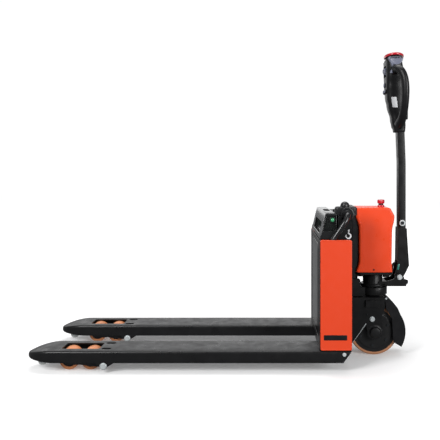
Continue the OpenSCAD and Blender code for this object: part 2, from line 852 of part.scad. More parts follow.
module tiller_tube() {
    d = tube_depth / 2;
    function line(off) = [[tube_x + off, 402], [tube_x + off, tube_bend_z], [tube_x + off - tube_lean, head_z + 60]];
    outer = concat(line(-d), [line(d)[2], line(d)[1], line(d)[0]]);
    inner = concat(line(3 - d), [line(d - 3)[2], line(d - 3)[1], line(d - 3)[0]]);
    color([0.05, 0.05, 0.055])
        union() {
            difference() {
                slab(outer, -tube_w / 2, tube_w / 2);
                slab([for (p = inner) [p[0], p[1] + (p[1] < 500 ? -1 : 1)]], 3 - tube_w / 2, tube_w / 2 - 3);
            }
            // clamp bolt over the foot
            rod_y(tube_x, 560, 9, -tube_w / 2 - 4, 1 - tube_w / 2);
            rod_y(tube_x, 560, 9, tube_w / 2 - 1, tube_w / 2 + 4);
        }
}

face_x = 676;           // face of the head, where the buttons are

function head_profile(d) = [
    [713 + d, head_z + d], [762 - d, head_z + d], [763 - d, head_z + 26], [755 - d, head_z + 150],
    [750 - d, head_top - 60], [742 - d, head_top - d], [face_x + 4 + d, head_top - d],
    [face_x + d, head_top - 40], [face_x + 1 + d, head_top - 122], [face_x + 9 + d, head_z + 112],
    [face_x + 25 + d, head_z + 59]
];

function head_plan(d) = [
    [28 - d, head_z], [34 - d, head_z + 60], [48 - d, head_top - 110], [64 - d, head_top - 50],
    [64 - d, head_top]
];

module head_outline(d) {
    half = head_plan(d);
    intersection() {
        slab(head_profile(d), -80, 80);
        translate([600, 0, 0])
            rotate([90, 0, 90])
                linear_extrude(200)
                    polygon(concat(half, [for (i = [len(half) - 1 : -1 : 0]) [-half[i][0], half[i][1]]]));
    }
}

module head_shell() {
    socket = tube_depth / 2 + gap;
    color([0.05, 0.05, 0.06])
        difference() {
            head_outline(0);
            difference() {
                head_outline(5);
                block(600, -80, head_z - 1, 800, 80, head_z + 64);
            }
            // socket of the tube
            slab([[tube_x - tube_lean - socket, head_z - 1], [tube_x - tube_lean + socket + 3, head_z - 1],
                [tube_x - tube_lean + socket, head_z + 61], [tube_x - tube_lean - socket, head_z + 61]],
                -tube_w / 2 - 0.5, tube_w / 2 + 0.5);
            for (b = buttons)
                rod_x(b[0], b[1], b[2] + 0.4, face_x - 5, face_x + 12);
            block(face_x - 5, -26.5, throttle_z - 22, face_x + 30, 26.5, throttle_z + 26);
            block(face_x + 8, -50.5, head_top - 8, 736.5, 50.5, head_top + 1);
            rod_x(0, key_z, 8 + fit, 740, 760);
        }
}

// Buttons on the face: Y, Z and radius
throttle_z = 1206;
horn = [0, 1150, 9];
lift = [-16, 1122, 7];
lower = [16, 1122, 7];
buttons = [horn, lift, lower];
key_z = 1080;

module head_button(b) {
    rod_x(b[0], b[1], b[2], face_x - 4, face_x + 8);
}

module horn_button() {
    color([0.75, 0.6, 0.1])
        head_button(horn);
}

module lift_button() {
    color([0.35, 0.36, 0.4])
        head_button(lift);
}

module lower_button() {
    color([0.35, 0.36, 0.4])
        head_button(lower);
}

// Butterfly throttle: a barrel across the head, with a thumb paddle at each end
module throttle() {
    color([0.35, 0.36, 0.4])
        union() {
            rod_y(face_x + 10, throttle_z, 10, -25, 25);
            for (y = [-25, 5])
                slab(bar_outline(face_x + 10, throttle_z, 10, face_x - 1, throttle_z + 13, 4), y, y + 20);
        }
}

module head_bezel() {
    color([0.42, 0.43, 0.48])
        difference() {
            block(face_x + 8.5, -50, head_top - 7.5, 736, 50, head_top + 4);
            block(face_x + 14, -44, head_top - 1, 730, 44, head_top + 7);
        }
}

// A curved cap over the head, on a stem that sits in the bezel
module belly_button() {
    half = 58;
    mid_x = 714;
    crown = concat(arc(mid_x, head_top - 56, 85, 120, 61, 12), arc(mid_x, head_top - 56, 72, 61, 120, 12));
    color([0.8, 0.14, 0.16])
        union() {
            intersection() {
                slab(crown, -half, half);
                translate([0, 0, head_top - 10])
                    linear_extrude(50)
                        polygon(round_box(mid_x - 44, -half, mid_x + 43, half, 26));
            }
            block(face_x + 15, -43, head_top + 4.5, 729, 43, head_top + 13);
        }
}

module key() {
    color([0.6, 0.61, 0.63])
        union() {
            rod_x(0, key_z, 8, 748, 758);
            block(757, -1.5, key_z - 10, 774, 1.5, key_z + 10);
        }
}

module grip_left() {
    color([0.06, 0.06, 0.07])
        difference() {
            tube_along(grip_route, grip_r, [1, 0, 0.2], 16);
            head_outline(-0.3);
        }
}

module grip_right() {
    mirror([0, 1, 0])
        grip_left();
}

// ---- Lift linkage ------------------------------------------------------

module bell_crank() {
    color([0.16, 0.16, 0.17])
        difference() {
            union() {
                rod_y(crank_x, crank_z, 11, -fork_y - 36, fork_y + 36);
                for (y = [-crank_arm_y, crank_arm_y])
                    slab(bar_outline(crank_x, crank_z, 15, crank_end_x, crank_end_z, 7), y - 4, y + 4);
                rod_y(crank_end_x, crank_end_z, crank_roller_r, -crank_arm_y - 5, crank_arm_y + 5);
                for (side = [left, right])
                    on_fork(side) {
                        slab(bar_outline(crank_x, crank_z, 15, crank_pin_x, crank_pin_z, 10), -5, 5);
                        rod_y(crank_pin_x, crank_pin_z, 6, -12.5, 12.5);
                    }
            }
        }
}

// The rear eye is slotted, because the crank's pin dips while the rod rises
module push_rod(side) {
    eye = crank_pin_x;
    web = [[eye - 46, rod_pin_z - 7], [eye + 12, crank_pin_z - 22], [eye + 12, crank_pin_z + 8],
        [eye - 14, crank_pin_z + 8], [eye - 46, rod_pin_z + 8]];
    color([0.16, 0.16, 0.17])
        on_fork(side)
            union() {
                difference() {
                    rod_y(rod_pin_x, rod_pin_z, 13, -12, 12);
                    rod_y(rod_pin_x, rod_pin_z, 8 + fit, -13, 13);
                }
                rod_x(0, rod_pin_z, 6.5, rod_pin_x + 11, eye - 40);
                difference() {
                    slab(web, -12, 12);
                    block(eye - 30, -6, rod_pin_z - 20, eye + 20, 6, crank_pin_z + 20);
                    slab(bar_outline(eye, crank_pin_z - 11.5, 7, eye, crank_pin_z + 0.3, 7), -13, 13);
                }
            }
}

module push_rod_left() { push_rod(left); }
module push_rod_right() { push_rod(right); }

arm_plate_y = 46;
bogie_plate_y = 38.5;

module roller_arm(side) {
    color([0.14, 0.14, 0.15])
        on_fork(side)
            difference() {
                union() {
                    rod_y(arm_x, arm_z, 14, -66, 66);
                    both_sides() {
                        slab(bar_outline(arm_x, arm_z, 13, bogie_x, roller_r, 13),
                            arm_plate_y, arm_plate_y + 6);
                        rod_y(bogie_x, roller_r, 8, bogie_plate_y - 1, arm_plate_y + 6);
                        slab(bar_outline(arm_x, arm_z, 13, rod_pin_x, rod_pin_z, 11), 30, 36);
                    }
                    rod_y(rod_pin_x, rod_pin_z, 8, -36, 36);
                }
                rod_y(arm_x, arm_z, 8 + fit, -70, 70);
            }
}

module roller_arm_left() { roller_arm(left); }
module roller_arm_right() { roller_arm(right); }

axle_r = 8;

module bogie(side) {
    half = roller_pitch / 2;
    color([0.12, 0.12, 0.13])
        on_fork(side)
            union() {
                both_sides()
                    difference() {
                        slab(bar_outline(bogie_x - half, roller_r, 17, bogie_x + half, roller_r, 17),
                            bogie_plate_y, bogie_plate_y + 5);
                        rod_y(bogie_x, roller_r, 8 + fit, bogie_plate_y - 2, bogie_plate_y + 7);
                    }
                for (x = [bogie_x - half, bogie_x + half])
                    rod_y(x, roller_r, axle_r, -bogie_plate_y - 4, bogie_plate_y + 4);
            }
}

module bogie_left() { bogie(left); }
module bogie_right() { bogie(right); }

module load_roller(side, end) {
    half = roller_w / 2;
    color([0.72, 0.42, 0.26])
        translate([bogie_x + end * roller_pitch / 2, side * fork_y, roller_r])
            rotate([90, 0, 0])
                rotate_extrude()
                    polygon([[axle_r + fit, -half], [roller_r - 3, -half], [roller_r, 3 - half],
                        [roller_r, half - 3], [roller_r - 3, half], [axle_r + fit, half]]);
}

module front_roller_left() { load_roller(left, -1); }
module rear_roller_left() { load_roller(left, 1); }
module front_roller_right() { load_roller(right, -1); }
module rear_roller_right() { load_roller(right, 1); }

module entry_roller(side) {
    color([0.85, 0.87, 0.85])
        on_fork(side)
            difference() {
                rod_y(entry_x, entry_z, entry_r, -22, 22);
                rod_y(entry_x, entry_z, 6 + fit, -23, 23);
            }
}

module entry_roller_left() { entry_roller(left); }
module entry_roller_right() { entry_roller(right); }

// ---- Nodes -------------------------------------------------------------

fork_left();
fork_right();
heel_frame();
mast_frame();
front_cover();
side_panel_left();
side_panel_right();
battery_plug();
battery_lead();
lift_rod();
rod_cap();
frame_pins();
battery_pack();
battery_hood();
status_lamp();
lift_carriage();
lift_cylinder();
steer_bearing();
steer_column();
drive_yoke();
yoke_bolts();
mudguard();
head_base();
rear_cover();
tank_housing();
pump_motor();
stop_collar();
tiller_bracket();
tiller_pin();
return_spring();
tiller_cable();
drive_tyre();
hub_motor();
hub_bolts();
stop_button();
tiller_foot();
tiller_tube();
head_shell();
head_bezel();
grip_left();
grip_right();
belly_button();
throttle();
horn_button();
lift_button();
lower_button();
key();
bell_crank();
push_rod_left();
push_rod_right();
roller_arm_left();
roller_arm_right();
bogie_left();
bogie_right();
front_roller_left();
rear_roller_left();
front_roller_right();
rear_roller_right();
entry_roller_left();
entry_roller_right();
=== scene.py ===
"""Looks of the electric pallet truck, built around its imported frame.

+X runs from the fork tips to the operator and +Z is up. The left side is -Y, and it faces the camera.
Shapes are drawn in millimetres, and turned into metres as their corners are made. The rest is in metres.
"""
import json
from math import copysign, cos, pi, radians, sin, sqrt

import bmesh
import bpy
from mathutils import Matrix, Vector


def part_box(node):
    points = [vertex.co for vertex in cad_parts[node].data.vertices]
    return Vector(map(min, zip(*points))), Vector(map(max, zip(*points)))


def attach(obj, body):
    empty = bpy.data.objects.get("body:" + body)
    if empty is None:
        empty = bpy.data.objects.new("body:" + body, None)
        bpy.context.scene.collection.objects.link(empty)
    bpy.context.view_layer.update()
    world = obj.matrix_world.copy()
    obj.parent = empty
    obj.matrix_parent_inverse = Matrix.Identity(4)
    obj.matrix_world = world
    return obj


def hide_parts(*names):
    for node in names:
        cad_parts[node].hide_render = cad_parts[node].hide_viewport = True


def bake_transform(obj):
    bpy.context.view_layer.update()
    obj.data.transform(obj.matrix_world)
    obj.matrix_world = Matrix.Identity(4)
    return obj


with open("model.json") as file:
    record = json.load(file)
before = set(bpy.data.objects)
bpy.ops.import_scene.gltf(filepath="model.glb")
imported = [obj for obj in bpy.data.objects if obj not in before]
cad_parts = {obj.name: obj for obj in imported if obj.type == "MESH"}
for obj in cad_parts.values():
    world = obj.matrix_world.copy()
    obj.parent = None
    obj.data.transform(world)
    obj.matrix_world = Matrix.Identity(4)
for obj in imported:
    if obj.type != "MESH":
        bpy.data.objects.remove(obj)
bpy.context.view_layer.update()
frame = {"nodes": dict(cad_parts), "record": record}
nodes = frame["nodes"]
MM = 0.001
WHITE = 1.02
AMBIENT = 0.20


# ---- Camera, light and floor --------------------------------------------

def add_object(name, data):
    made = bpy.data.objects.new(name, data)
    bpy.context.scene.collection.objects.link(made)
    return made


def make_camera():
    data = bpy.data.cameras.new("camera")
    camera = add_object("camera", data)
    camera.location = (0.1905, -2.570, 0.782)
    camera.rotation_euler = (radians(90), 0, 0)
    data.sensor_width = 36
    data.lens = 48.76
    data.shift_x = -0.1182
    data.shift_y = -0.1114
    bpy.context.scene.camera = camera


def make_light(name, place, target, size, power):
    data = bpy.data.lights.new(name, "AREA")
    data.shape = "RECTANGLE"
    data.size, data.size_y = size
    data.energy = power
    lamp = add_object(name, data)
    lamp.location = place
    lamp.visible_camera = False
    aim = Vector(target) - Vector(place)
    lamp.rotation_euler = aim.to_track_quat("-Z", "Y").to_euler()


def make_studio():
    """A white backdrop, with a dimmer light from it, so that black paint stays black."""
    world = bpy.data.worlds.new("studio")
    world.use_nodes = True
    tree = world.node_tree
    link = tree.links.new
    seen = tree.nodes["Background"]
    seen.inputs["Color"].default_value = (1, 1, 1, 1)
    seen.inputs["Strength"].default_value = WHITE
    soft = tree.nodes.new("ShaderNodeBackground")
    soft.inputs["Color"].default_value = (0.96, 0.98, 1, 1)
    soft.inputs["Strength"].default_value = AMBIENT
    path = tree.nodes.new("ShaderNodeLightPath")
    mix = tree.nodes.new("ShaderNodeMixShader")
    link(path.outputs["Is Camera Ray"], mix.inputs[0])
    link(soft.outputs[0], mix.inputs[1])
    link(seen.outputs[0], mix.inputs[2])
    link(mix.outputs[0], tree.nodes["World Output"].inputs["Surface"])
    bpy.context.scene.world = world
    bpy.context.scene.view_settings.view_transform = "Standard"
    middle = (0, 0, 0.5)
    make_light("key_light", (-2.3, -3.0, 2.6), middle, (1.6, 1.6), 135)
    make_light("fill_light", (2.9, -3.3, 1.5), middle, (1.6, 1.8), 120)
    make_light("top_light", (0, 0.5, 3.2), middle, (2.8, 1.6), 60)
    make_light("back_light", (-0.8, 4.6, 1.5), (-0.2, 0, 0.1), (7, 1.8), 34)


def make_floor():
    """A white floor that glows a little, so that it runs into the backdrop and keeps its shadows."""
    mesh = bpy.data.meshes.new("floor")
    half = 14
    corners = [(-half, -half, 0), (half, -half, 0), (half, half, 0), (-half, half, 0)]
    mesh.from_pydata(corners, [], [(0, 1, 2, 3)])
    floor = add_object("floor", mesh)
    paint = make_material("floor", (0.9, 0.9, 0.9), rough=0.8, spot=0.01, level=0.1)
    tree = paint.node_tree
    shader = tree.nodes["Principled BSDF"]
    shader.inputs["Emission Color"].default_value = (1, 1, 1, 1)
    far = tree.nodes.new("ShaderNodeVectorMath")
    far.operation = "LENGTH"
    tree.links.new(tree.nodes.new("ShaderNodeTexCoord").outputs["Object"], far.inputs[0])
    glow = add_range(tree, far.outputs["Value"], 0.5, 3.5, 0.14, WHITE - 0.9 * AMBIENT)
    tree.links.new(glow, shader.inputs["Emission Strength"])
    mesh.materials.append(paint)
    floor.visible_glossy = False
    floor.visible_diffuse = False


# ---- Materials -----------------------------------------------------------

def add_noise(tree, coords, scale, detail=4, stretch=(1, 1, 1)):
    mapping = tree.nodes.new("ShaderNodeMapping")
    mapping.inputs["Scale"].default_value = stretch
    tree.links.new(coords, mapping.inputs["Vector"])
    made = tree.nodes.new("ShaderNodeTexNoise")
    made.inputs["Scale"].default_value = scale
    made.inputs["Detail"].default_value = detail
    tree.links.new(mapping.outputs["Vector"], made.inputs["Vector"])
    return made.outputs["Fac"]


def add_range(tree, value, low, high, to_low, to_high):
    made = tree.nodes.new("ShaderNodeMapRange")
    for name, number in (("From Min", low), ("From Max", high), ("To Min", to_low), ("To Max", to_high)):
        made.inputs[name].default_value = number
    tree.links.new(value, made.inputs["Value"])
    return made.outputs["Result"]


def add_mix(tree, factor, first, second):
    made = tree.nodes.new("ShaderNodeMix")
    made.data_type = "RGBA"
    for socket, value in ((made.inputs["A"], first), (made.inputs["B"], second)):
        if isinstance(value, tuple):
            socket.default_value = (*value, 1)
        else:
            tree.links.new(value, socket)
    tree.links.new(factor, made.inputs["Factor"])
    return made.outputs["Result"]


def add_product(tree, first, second):
    made = tree.nodes.new("ShaderNodeMath")
    made.operation = "MULTIPLY"
    tree.links.new(first, made.inputs[0])
    tree.links.new(second, made.inputs[1])
    return made.outputs["Value"]


def make_material(name, color, rough=0.5, metal=0, spot=0.05, grain=900, bump=0.02, wear=None, wear_amount=0.5, coat=0,
        dust=None, stretch=(1, 1, 1), rough_spread=0.08, level=0.5):
    """A finish with cloudy colour, a fine grain, worn edges and a little dust."""
    material = bpy.data.materials.new(name)
    material.use_nodes = True
    tree = material.node_tree
    link = tree.links.new
    shader = tree.nodes["Principled BSDF"]
    coords = tree.nodes.new("ShaderNodeTexCoord").outputs["Object"]
    dark = tuple(c * (1 - spot) for c in color)
    light = tuple(min(1, c * (1 + spot) + spot * 0.02) for c in color)
    cloud = add_noise(tree, coords, 7, 5, stretch)
    paint = add_mix(tree, add_range(tree, cloud, 0.3, 0.7, 0, 1), dark, light)
    if dust:
        upward = tree.nodes.new("ShaderNodeSeparateXYZ")
        link(tree.nodes.new("ShaderNodeNewGeometry").outputs["Normal"], upward.inputs["Vector"])
        patch = add_noise(tree, coords, 22, 6)
        settled = add_product(tree, add_range(tree, upward.outputs["Z"], 0.5, 1, 0, 1), add_range(tree, patch, 0.42,
            0.75, 0, dust[1]))
        paint = add_mix(tree, settled, paint, dust[0])
    if wear:
        bevel = tree.nodes.new("ShaderNodeBevel")
        bevel.samples = 4
        bevel.inputs["Radius"].default_value = 0.0016
        flat = tree.nodes.new("ShaderNodeNewGeometry")
        dot = tree.nodes.new("ShaderNodeVectorMath")
        dot.operation = "DOT_PRODUCT"
        link(bevel.outputs["Normal"], dot.inputs[0])
        link(flat.outputs["Normal"], dot.inputs[1])
        edge = add_range(tree, dot.outputs["Value"], 0.99, 0.93, 0, 1)
        worn = add_product(tree, edge, add_range(tree, add_noise(tree, coords, 60, 8), 0.5, 0.62, 0, wear_amount))
        paint = add_mix(tree, worn, paint, wear)
    link(paint, shader.inputs["Base Color"])
    shader.inputs["Metallic"].default_value = metal
    shader.inputs["Specular IOR Level"].default_value = level
    shader.inputs["Coat Weight"].default_value = coat
    shader.inputs["Coat Roughness"].default_value = 0.08
    smear = add_noise(tree, coords, 30, 6, stretch)
    roughness = add_range(tree, smear, 0.3, 0.7, max(0, rough - rough_spread), min(1, rough + rough_spread))
    link(roughness, shader.inputs["Roughness"])
    height = tree.nodes.new("ShaderNodeBump")
    height.inputs["Strength"].default_value = bump
    height.inputs["Distance"].default_value = 0.0006
    link(add_noise(tree, coords, grain, 3, stretch), height.inputs["Height"])
    link(height.outputs["Normal"], shader.inputs["Normal"])
    return material


GREY_DUST = (0.30, 0.29, 0.28)
BARE_STEEL = (0.30, 0.30, 0.31)

FINISHES = {
    "fork_paint": ((0.007, 0.007, 0.0075), dict(rough=0.33, grain=700, bump=0.05, wear=BARE_STEEL, wear_amount=0.15,
        dust=(GREY_DUST, 0.015), level=0.32)),
    "frame_paint": ((0.006, 0.006, 0.0065), dict(rough=0.36, grain=700, bump=0.07, wear=BARE_STEEL, wear_amount=0.12,
        dust=(GREY_DUST, 0.02), level=0.26)),
    "panel_paint": ((0.75, 0.062, 0.018), dict(rough=0.40, grain=420, bump=0.04, spot=0.012, wear=(0.93, 0.20, 0.11),
        wear_amount=0.25, level=0.3)),
    # cover_plastic is a brighter copy of the side panels' orange, to lift the cover out of the shade it stands in:
    # painted light
    "cover_plastic": ((0.86, 0.070, 0.018), dict(rough=0.34, grain=1100, bump=0.04, spot=0.012,
        wear=(0.93, 0.20, 0.11), wear_amount=0.2, level=0.3)),
    "gloss_black": ((0.008, 0.0085, 0.009), dict(rough=0.16, grain=260, bump=0.03, rough_spread=0.05, coat=0.3,
        dust=(GREY_DUST, 0.02), level=0.4)),
    "black_plastic": ((0.0065, 0.0065, 0.0075), dict(rough=0.38, grain=1500, bump=0.10, dust=(GREY_DUST, 0.015),
        level=0.3)),
    "plug_plastic": ((0.012, 0.012, 0.013), dict(rough=0.34, grain=1300, bump=0.08, level=0.45)),
    "cable_rubber": ((0.008, 0.008, 0.009), dict(rough=0.26, grain=700, bump=0.05)),
    "rod_chrome": ((0.80, 0.80, 0.82), dict(rough=0.08, metal=1, grain=600, bump=0.01)),
    "bolt_zinc": ((0.66, 0.70, 0.71), dict(rough=0.34, metal=0.4, grain=900, bump=0.05, spot=0.12)),
    "link_steel": ((0.014, 0.014, 0.015), dict(rough=0.42, grain=500, bump=0.10, wear=BARE_STEEL, wear_amount=0.3,
        level=0.4)),
    "tread": ((0.66, 0.25, 0.105), dict(rough=0.40, grain=500, bump=0.06, spot=0.16, level=0.4)),
    "hub_iron": ((0.008, 0.008, 0.0085), dict(rough=0.38, grain=420, bump=0.10, wear=BARE_STEEL, wear_amount=0.2,
        level=0.4)),
    "roller_nylon": ((0.70, 0.72, 0.70), dict(rough=0.40, grain=600, bump=0.04)),
    "battery_case": ((0.012, 0.012, 0.013), dict(rough=0.45, grain=1200, bump=0.10, level=0.4)),
    "lamp_green": ((0.06, 0.36, 0.16), dict(rough=0.12, grain=300, bump=0.03, coat=0.8)),
    "control_grey": ((0.15, 0.16, 0.22), dict(rough=0.34, grain=1200, bump=0.06)),
    "button_red": ((0.50, 0.010, 0.022), dict(rough=0.26, grain=1100, bump=0.04, coat=0.25)),
    "spring_steel": ((0.42, 0.43, 0.45), dict(rough=0.3, metal=1)),
    "motor_grey": ((0.20, 0.21, 0.23), dict(rough=0.45, metal=0.6, grain=500, bump=0.15)),
    "black_satin": ((0.006, 0.006, 0.0065), dict(rough=0.30, grain=500, bump=0.04, level=0.4)),
    "dark_green": ((0.006, 0.012, 0.009), dict(rough=0.32, grain=900, bump=0.05, level=0.4)),
    "screw_black": ((0.04, 0.012, 0.012), dict(rough=0.4, metal=0.4, bump=0.03)),
    "sticker": ((0.74, 0.75, 0.77), dict(rough=0.45, grain=300, bump=0.02, spot=0.05)),
    "drive_tread": ((0.56, 0.25, 0.125), dict(rough=0.45, grain=240, bump=0.25, spot=0.22, stretch=(1, 0.3, 1))),
    # a much darker copy of button_red: painted shade for the neck under the overhanging stop knob
    "neck_red_painted_shade": ((0.07, 0.004, 0.008), dict(rough=0.4, grain=900, bump=0.05)),
    "bolt_dark": ((0.05, 0.055, 0.06), dict(rough=0.35, metal=0.9, grain=900, bump=0.06, spot=0.2)),
    "teal_tip": ((0.02, 0.20, 0.16), dict(rough=0.35, grain=900, bump=0.04)),
}
MATERIALS = {name: make_material(name, color, **options) for name, (color, options) in FINISHES.items()}
SLOT_OF = {row["node"]: row["material_slot"] for row in frame["record"]["subparts"]}


def add_bevel(piece, width, segments, angle):
    """Rounds the edges of a piece that are sharper than the angle. width is in millimetres."""
    bevel = piece.modifiers.new("edges", "BEVEL")
    bevel.width = width * MM
    bevel.segments = segments
    bevel.limit_method = "ANGLE"
    bevel.angle_limit = radians(angle)
    bevel.harden_normals = True
    bevel.miter_outer = "MITER_ARC"


def soften(piece, width):
    """Rounds the sharp edges of a CAD node with modifiers that leave its mesh as it is."""
    weld = piece.modifiers.new("weld", "WELD")
    weld.merge_threshold = 0.00002
    flat = piece.modifiers.new("flatten", "DECIMATE")
    flat.decimate_type = "DISSOLVE"
    flat.angle_limit = radians(0.6)
    add_bevel(piece, width, segments=2, angle=32)


def dress_node(name):
    piece = nodes[name]
    piece.data.materials.clear()
    piece.data.materials.append(MATERIALS[SLOT_OF[name]])


# ---- Mesh helpers --------------------------------------------------------

def arc(cx, cy, radius, start, end, steps):
    """Points along an arc, with angles in degrees."""
    turns = [radians(start + (end - start) * i / steps) for i in range(steps + 1)]
    return [(cx + radius * cos(t), cy + radius * sin(t)) for t in turns]


def rounded(x0, y0, x1, y1, radius, steps=6, inset=0):
    """The outline of a rectangle with round corners, drawn in by the inset."""
    x0, y0, x1, y1 = x0 + inset, y0 + inset, x1 - inset, y1 - inset
    r = min(radius, (x1 - x0) / 2 - 0.01, (y1 - y0) / 2 - 0.01)
    corners = ((x1 - r, y1 - r, 0), (x0 + r, y1 - r, 90), (x0 + r, y0 + r, 180), (x1 - r, y0 + r, 270))
    return [point for x, y, start in corners for point in arc(x, y, r, start, start + 90, steps)]


def ramp(value, table):
    """The value that a table of (at, result) pairs gives, eased between its rows."""
    if value <= table[0][0]:
        return table[0][1]
    for (a, low), (b, high) in zip(table, table[1:]):
        if value <= b:
            t = (value - a) / (b - a)
            t = t * t * (3 - 2 * t)
            return low + (high - low) * t
    return table[-1][1]


def straight(value, table):
    """The same as ramp(), in straight lines."""
    if value <= table[0][0]:
        return table[0][1]
    for (a, low), (b, high) in zip(table, table[1:]):
        if value <= b:
            return low + (high - low) * (value - a) / (b - a)
    return table[-1][1]


def smooth_route(points, steps):
    """A curve through the points, with that many steps between each two."""
    p = [Vector(q) for q in points]
    p = [2 * p[0] - p[1]] + p + [2 * p[-1] - p[-2]]
    made = []
    for i in range(1, len(p) - 2):
        for k in range(steps):
            t = k / steps
            a, b, c, d = p[i - 1:i + 3]
            made.append(0.5 * (2 * b + (c - a) * t + (2 * a - 5 * b + 4 * c - d) * t * t
                + (3 * b - a - 3 * c + d) * t ** 3))
    return made + [p[-2]]


def turned(along, radius, turn, centre, axis):
    """The point at this turn about an axis through centre."""
    u, v = radius * cos(turn), radius * sin(turn)
    offset = {"y": (u, along, v), "z": (u, v, along), "x": (along, u, v)}[axis]
    return [a + b for a, b in zip(centre, offset)]


def two_ended(half, profile):
    """A profile from (depth, radius) pairs at one end to the same at the other, half a width each way."""
    return [(depth - half, r) for depth, r in profile] + [(half - depth, r) for depth, r in profile[::-1]]


class Shape:
    """Faces gathered into one mesh, from prisms, lofts, lathes and tubes. Its lengths are in millimetres."""

    def __init__(self):
        self.mesh = bmesh.new()

    def corner(self, point):
        return self.mesh.verts.new([c * MM for c in point])

    def skin(self, rows, caps=()):
        """Faces between rows of corners, each row a closed loop, and over the caps."""
        made = []
        count = len(rows[0])
        for a, b in zip(rows, rows[1:]):
            for k in range(count):
                made.append(self.mesh.faces.new((a[k], a[(k + 1) % count], b[(k + 1) % count], b[k])))
        made += [self.mesh.faces.new(cap) for cap in caps]
        bmesh.ops.recalc_face_normals(self.mesh, faces=made)
        return self

    def loft(self, rings):
        """A skin over rings of points, each ring a closed loop. The ends are capped."""
        rows = [[self.corner(p) for p in ring] for ring in rings]
        return self.skin(rows, (rows[0][::-1], rows[-1]))

    def prism(self, outline, low, high, axis="y"):
        """An outline made solid. It lies in XZ, XY or YZ, and runs along Y, Z or X."""
        place = {"y": lambda a, b, c: (a, c, b), "z": lambda a, b, c: (a, b, c), "x": lambda a, b, c: (c, a, b)}[axis]
        return self.loft([[place(a, b, c) for a, b in outline] for c in (low, high)])

    def box(self, x0, y0, z0, x1, y1, z1):
        return self.prism([(x0, y0), (x1, y0), (x1, y1), (x0, y1)], z0, z1, "z")

    def lathe(self, profile, centre, axis="y", steps=48):
        """A profile of (along, radius) pairs, a closed loop, turned about an axis through centre."""
        rows = [[self.corner(turned(a, r, 2 * pi * i / steps, centre, axis)) for a, r in profile] for i in range(steps)]
        return self.skin(rows + rows[:1])

    def knob(self, profile, centre, axis="y", steps=32):
        """A solid turned about an axis: (along, radius) pairs from one end to the other."""
        return self.loft([[turned(a, r, 2 * pi * i / steps, centre, axis) for i in range(steps)] for a, r in profile])

    def tube(self, route, radius, sides=16, flat=1, up=(0, 0, 1)):
        """A tube along a route. radius is a number or a function of the share travelled."""
        rings = []
        frame_u = None
        for i, p in enumerate(route):
            ahead = (route[min(i + 1, len(route) - 1)] - route[max(i - 1, 0)]).normalized()
            if frame_u is None:
                frame_u = ahead.cross(Vector(up)).normalized()
            frame_u = (frame_u - frame_u.dot(ahead) * ahead).normalized()
            frame_v = ahead.cross(frame_u)
            r = radius(i / (len(route) - 1)) if callable(radius) else radius
            rings.append([p + r * cos(2 * pi * k / sides) * frame_u + r * flat * sin(2 * pi * k / sides) * frame_v
                for k in range(sides)])
        return self.loft(rings)

    def screw(self, centre, radius, side, axis="y"):
        """A low round screw head with a socket."""
        profile = [(0, radius), (side * radius * 0.45, radius), (side * radius * 0.62, radius * 0.85),
            (side * radius * 0.66, radius * 0.48), (side * radius * 0.2, radius * 0.42),
            (side * radius * 0.2, radius * 0.01)]
        return self.knob(profile, centre, axis, 24)

    def make(self, name):
        """The mesh as an object."""
        mesh = bpy.data.meshes.new(name)
        self.mesh.to_mesh(mesh)
        self.mesh.free()
        return add_object(name, mesh)


def apply_all(piece):
    """Replaces a piece's mesh by what its modifiers make of it."""
    bpy.context.view_layer.update()
    made = bpy.data.meshes.new_from_object(piece.evaluated_get(bpy.context.evaluated_depsgraph_get()))
    piece.modifiers.clear()
    piece.data = made


def cut(piece, shape):
    """Takes a shape away from a piece."""
    tool = shape.make("cutter")
    step = piece.modifiers.new("cut", "BOOLEAN")
    step.operation = "DIFFERENCE"
    step.solver = "EXACT"
    step.use_self = True
    step.object = tool
    apply_all(piece)
    bpy.data.objects.remove(tool)


def finish(piece, slot, sharp, material=None):
    """Gives a piece smooth shading between its sharp edges, and its finish."""
    piece.data.polygons.foreach_set("use_smooth", [True] * len(piece.data.polygons))
    piece.data.set_sharp_from_angle(angle=radians(sharp))
    piece.data.materials.clear()
    piece.data.materials.append(MATERIALS[material or slot])


def complete(piece, slot, body, *replaced, edges=0, angle=32, sharp=35, material=None):
    """Finishes a piece, gives it its body, and hides the nodes that it stands for."""
    finish(piece, slot, sharp, material)
    if edges:
        add_bevel(piece, edges, segments=3, angle=angle)
    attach(piece, body)
    if replaced:
        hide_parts(*replaced)


def node_box(node):
    """The low and the high corner of a CAD node, in millimetres."""
    low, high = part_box(node)
    return low / MM, high / MM


def mid(node):
    low, high = node_box(node)
    return (low + high) / 2


# ---- Forks ---------------------------------------------------------------

SHEET = 5
FORK_BEND = 8
NOSE = 110


def channel_ring(x, centre, half, low, top, slant=0):
    """The section of a fork: a channel with round top edges. slant leans it, for the heel's end."""
    outer = ([(-half, low)] + [(-a, b) for a, b in arc(half - FORK_BEND, top - FORK_BEND, FORK_BEND, 0, 90, 6)]
        + arc(half - FORK_BEND, top - FORK_BEND, FORK_BEND, 90, 0, 6) + [(half, low)])
    bend = FORK_BEND - SHEET
    inner = ([(half - SHEET, low)] + arc(half - FORK_BEND, top - FORK_BEND, bend, 0, 90, 6)
        + [(-a, b) for a, b in arc(half - FORK_BEND, top - FORK_BEND, bend, 90, 0, 6)] + [(SHEET - half, low)])
    return [(x - slant * (top - b) / (top - low), centre + a, b) for a, b in outer + inner]


def nose_ring(x, centre, half, low, top, bend_top, bend_low):
    """The section of a fork's nose, a closed shape with a crowned top."""
    half = max(half, 4)
    high = min(bend_top, half * 0.9)
    base = min(bend_low, half * 0.9)
    points = [(-half, low + base)] + [(-a, b) for a, b in arc(half - high, top - high, high, 0, 90, 6)]
    points += arc(half - high, top - high, high, 90, 0, 6) + [(half, low + base)]
    points += [(half - base, low), (base - half, low)]
    return [(x, centre + a, b) for a, b in points]


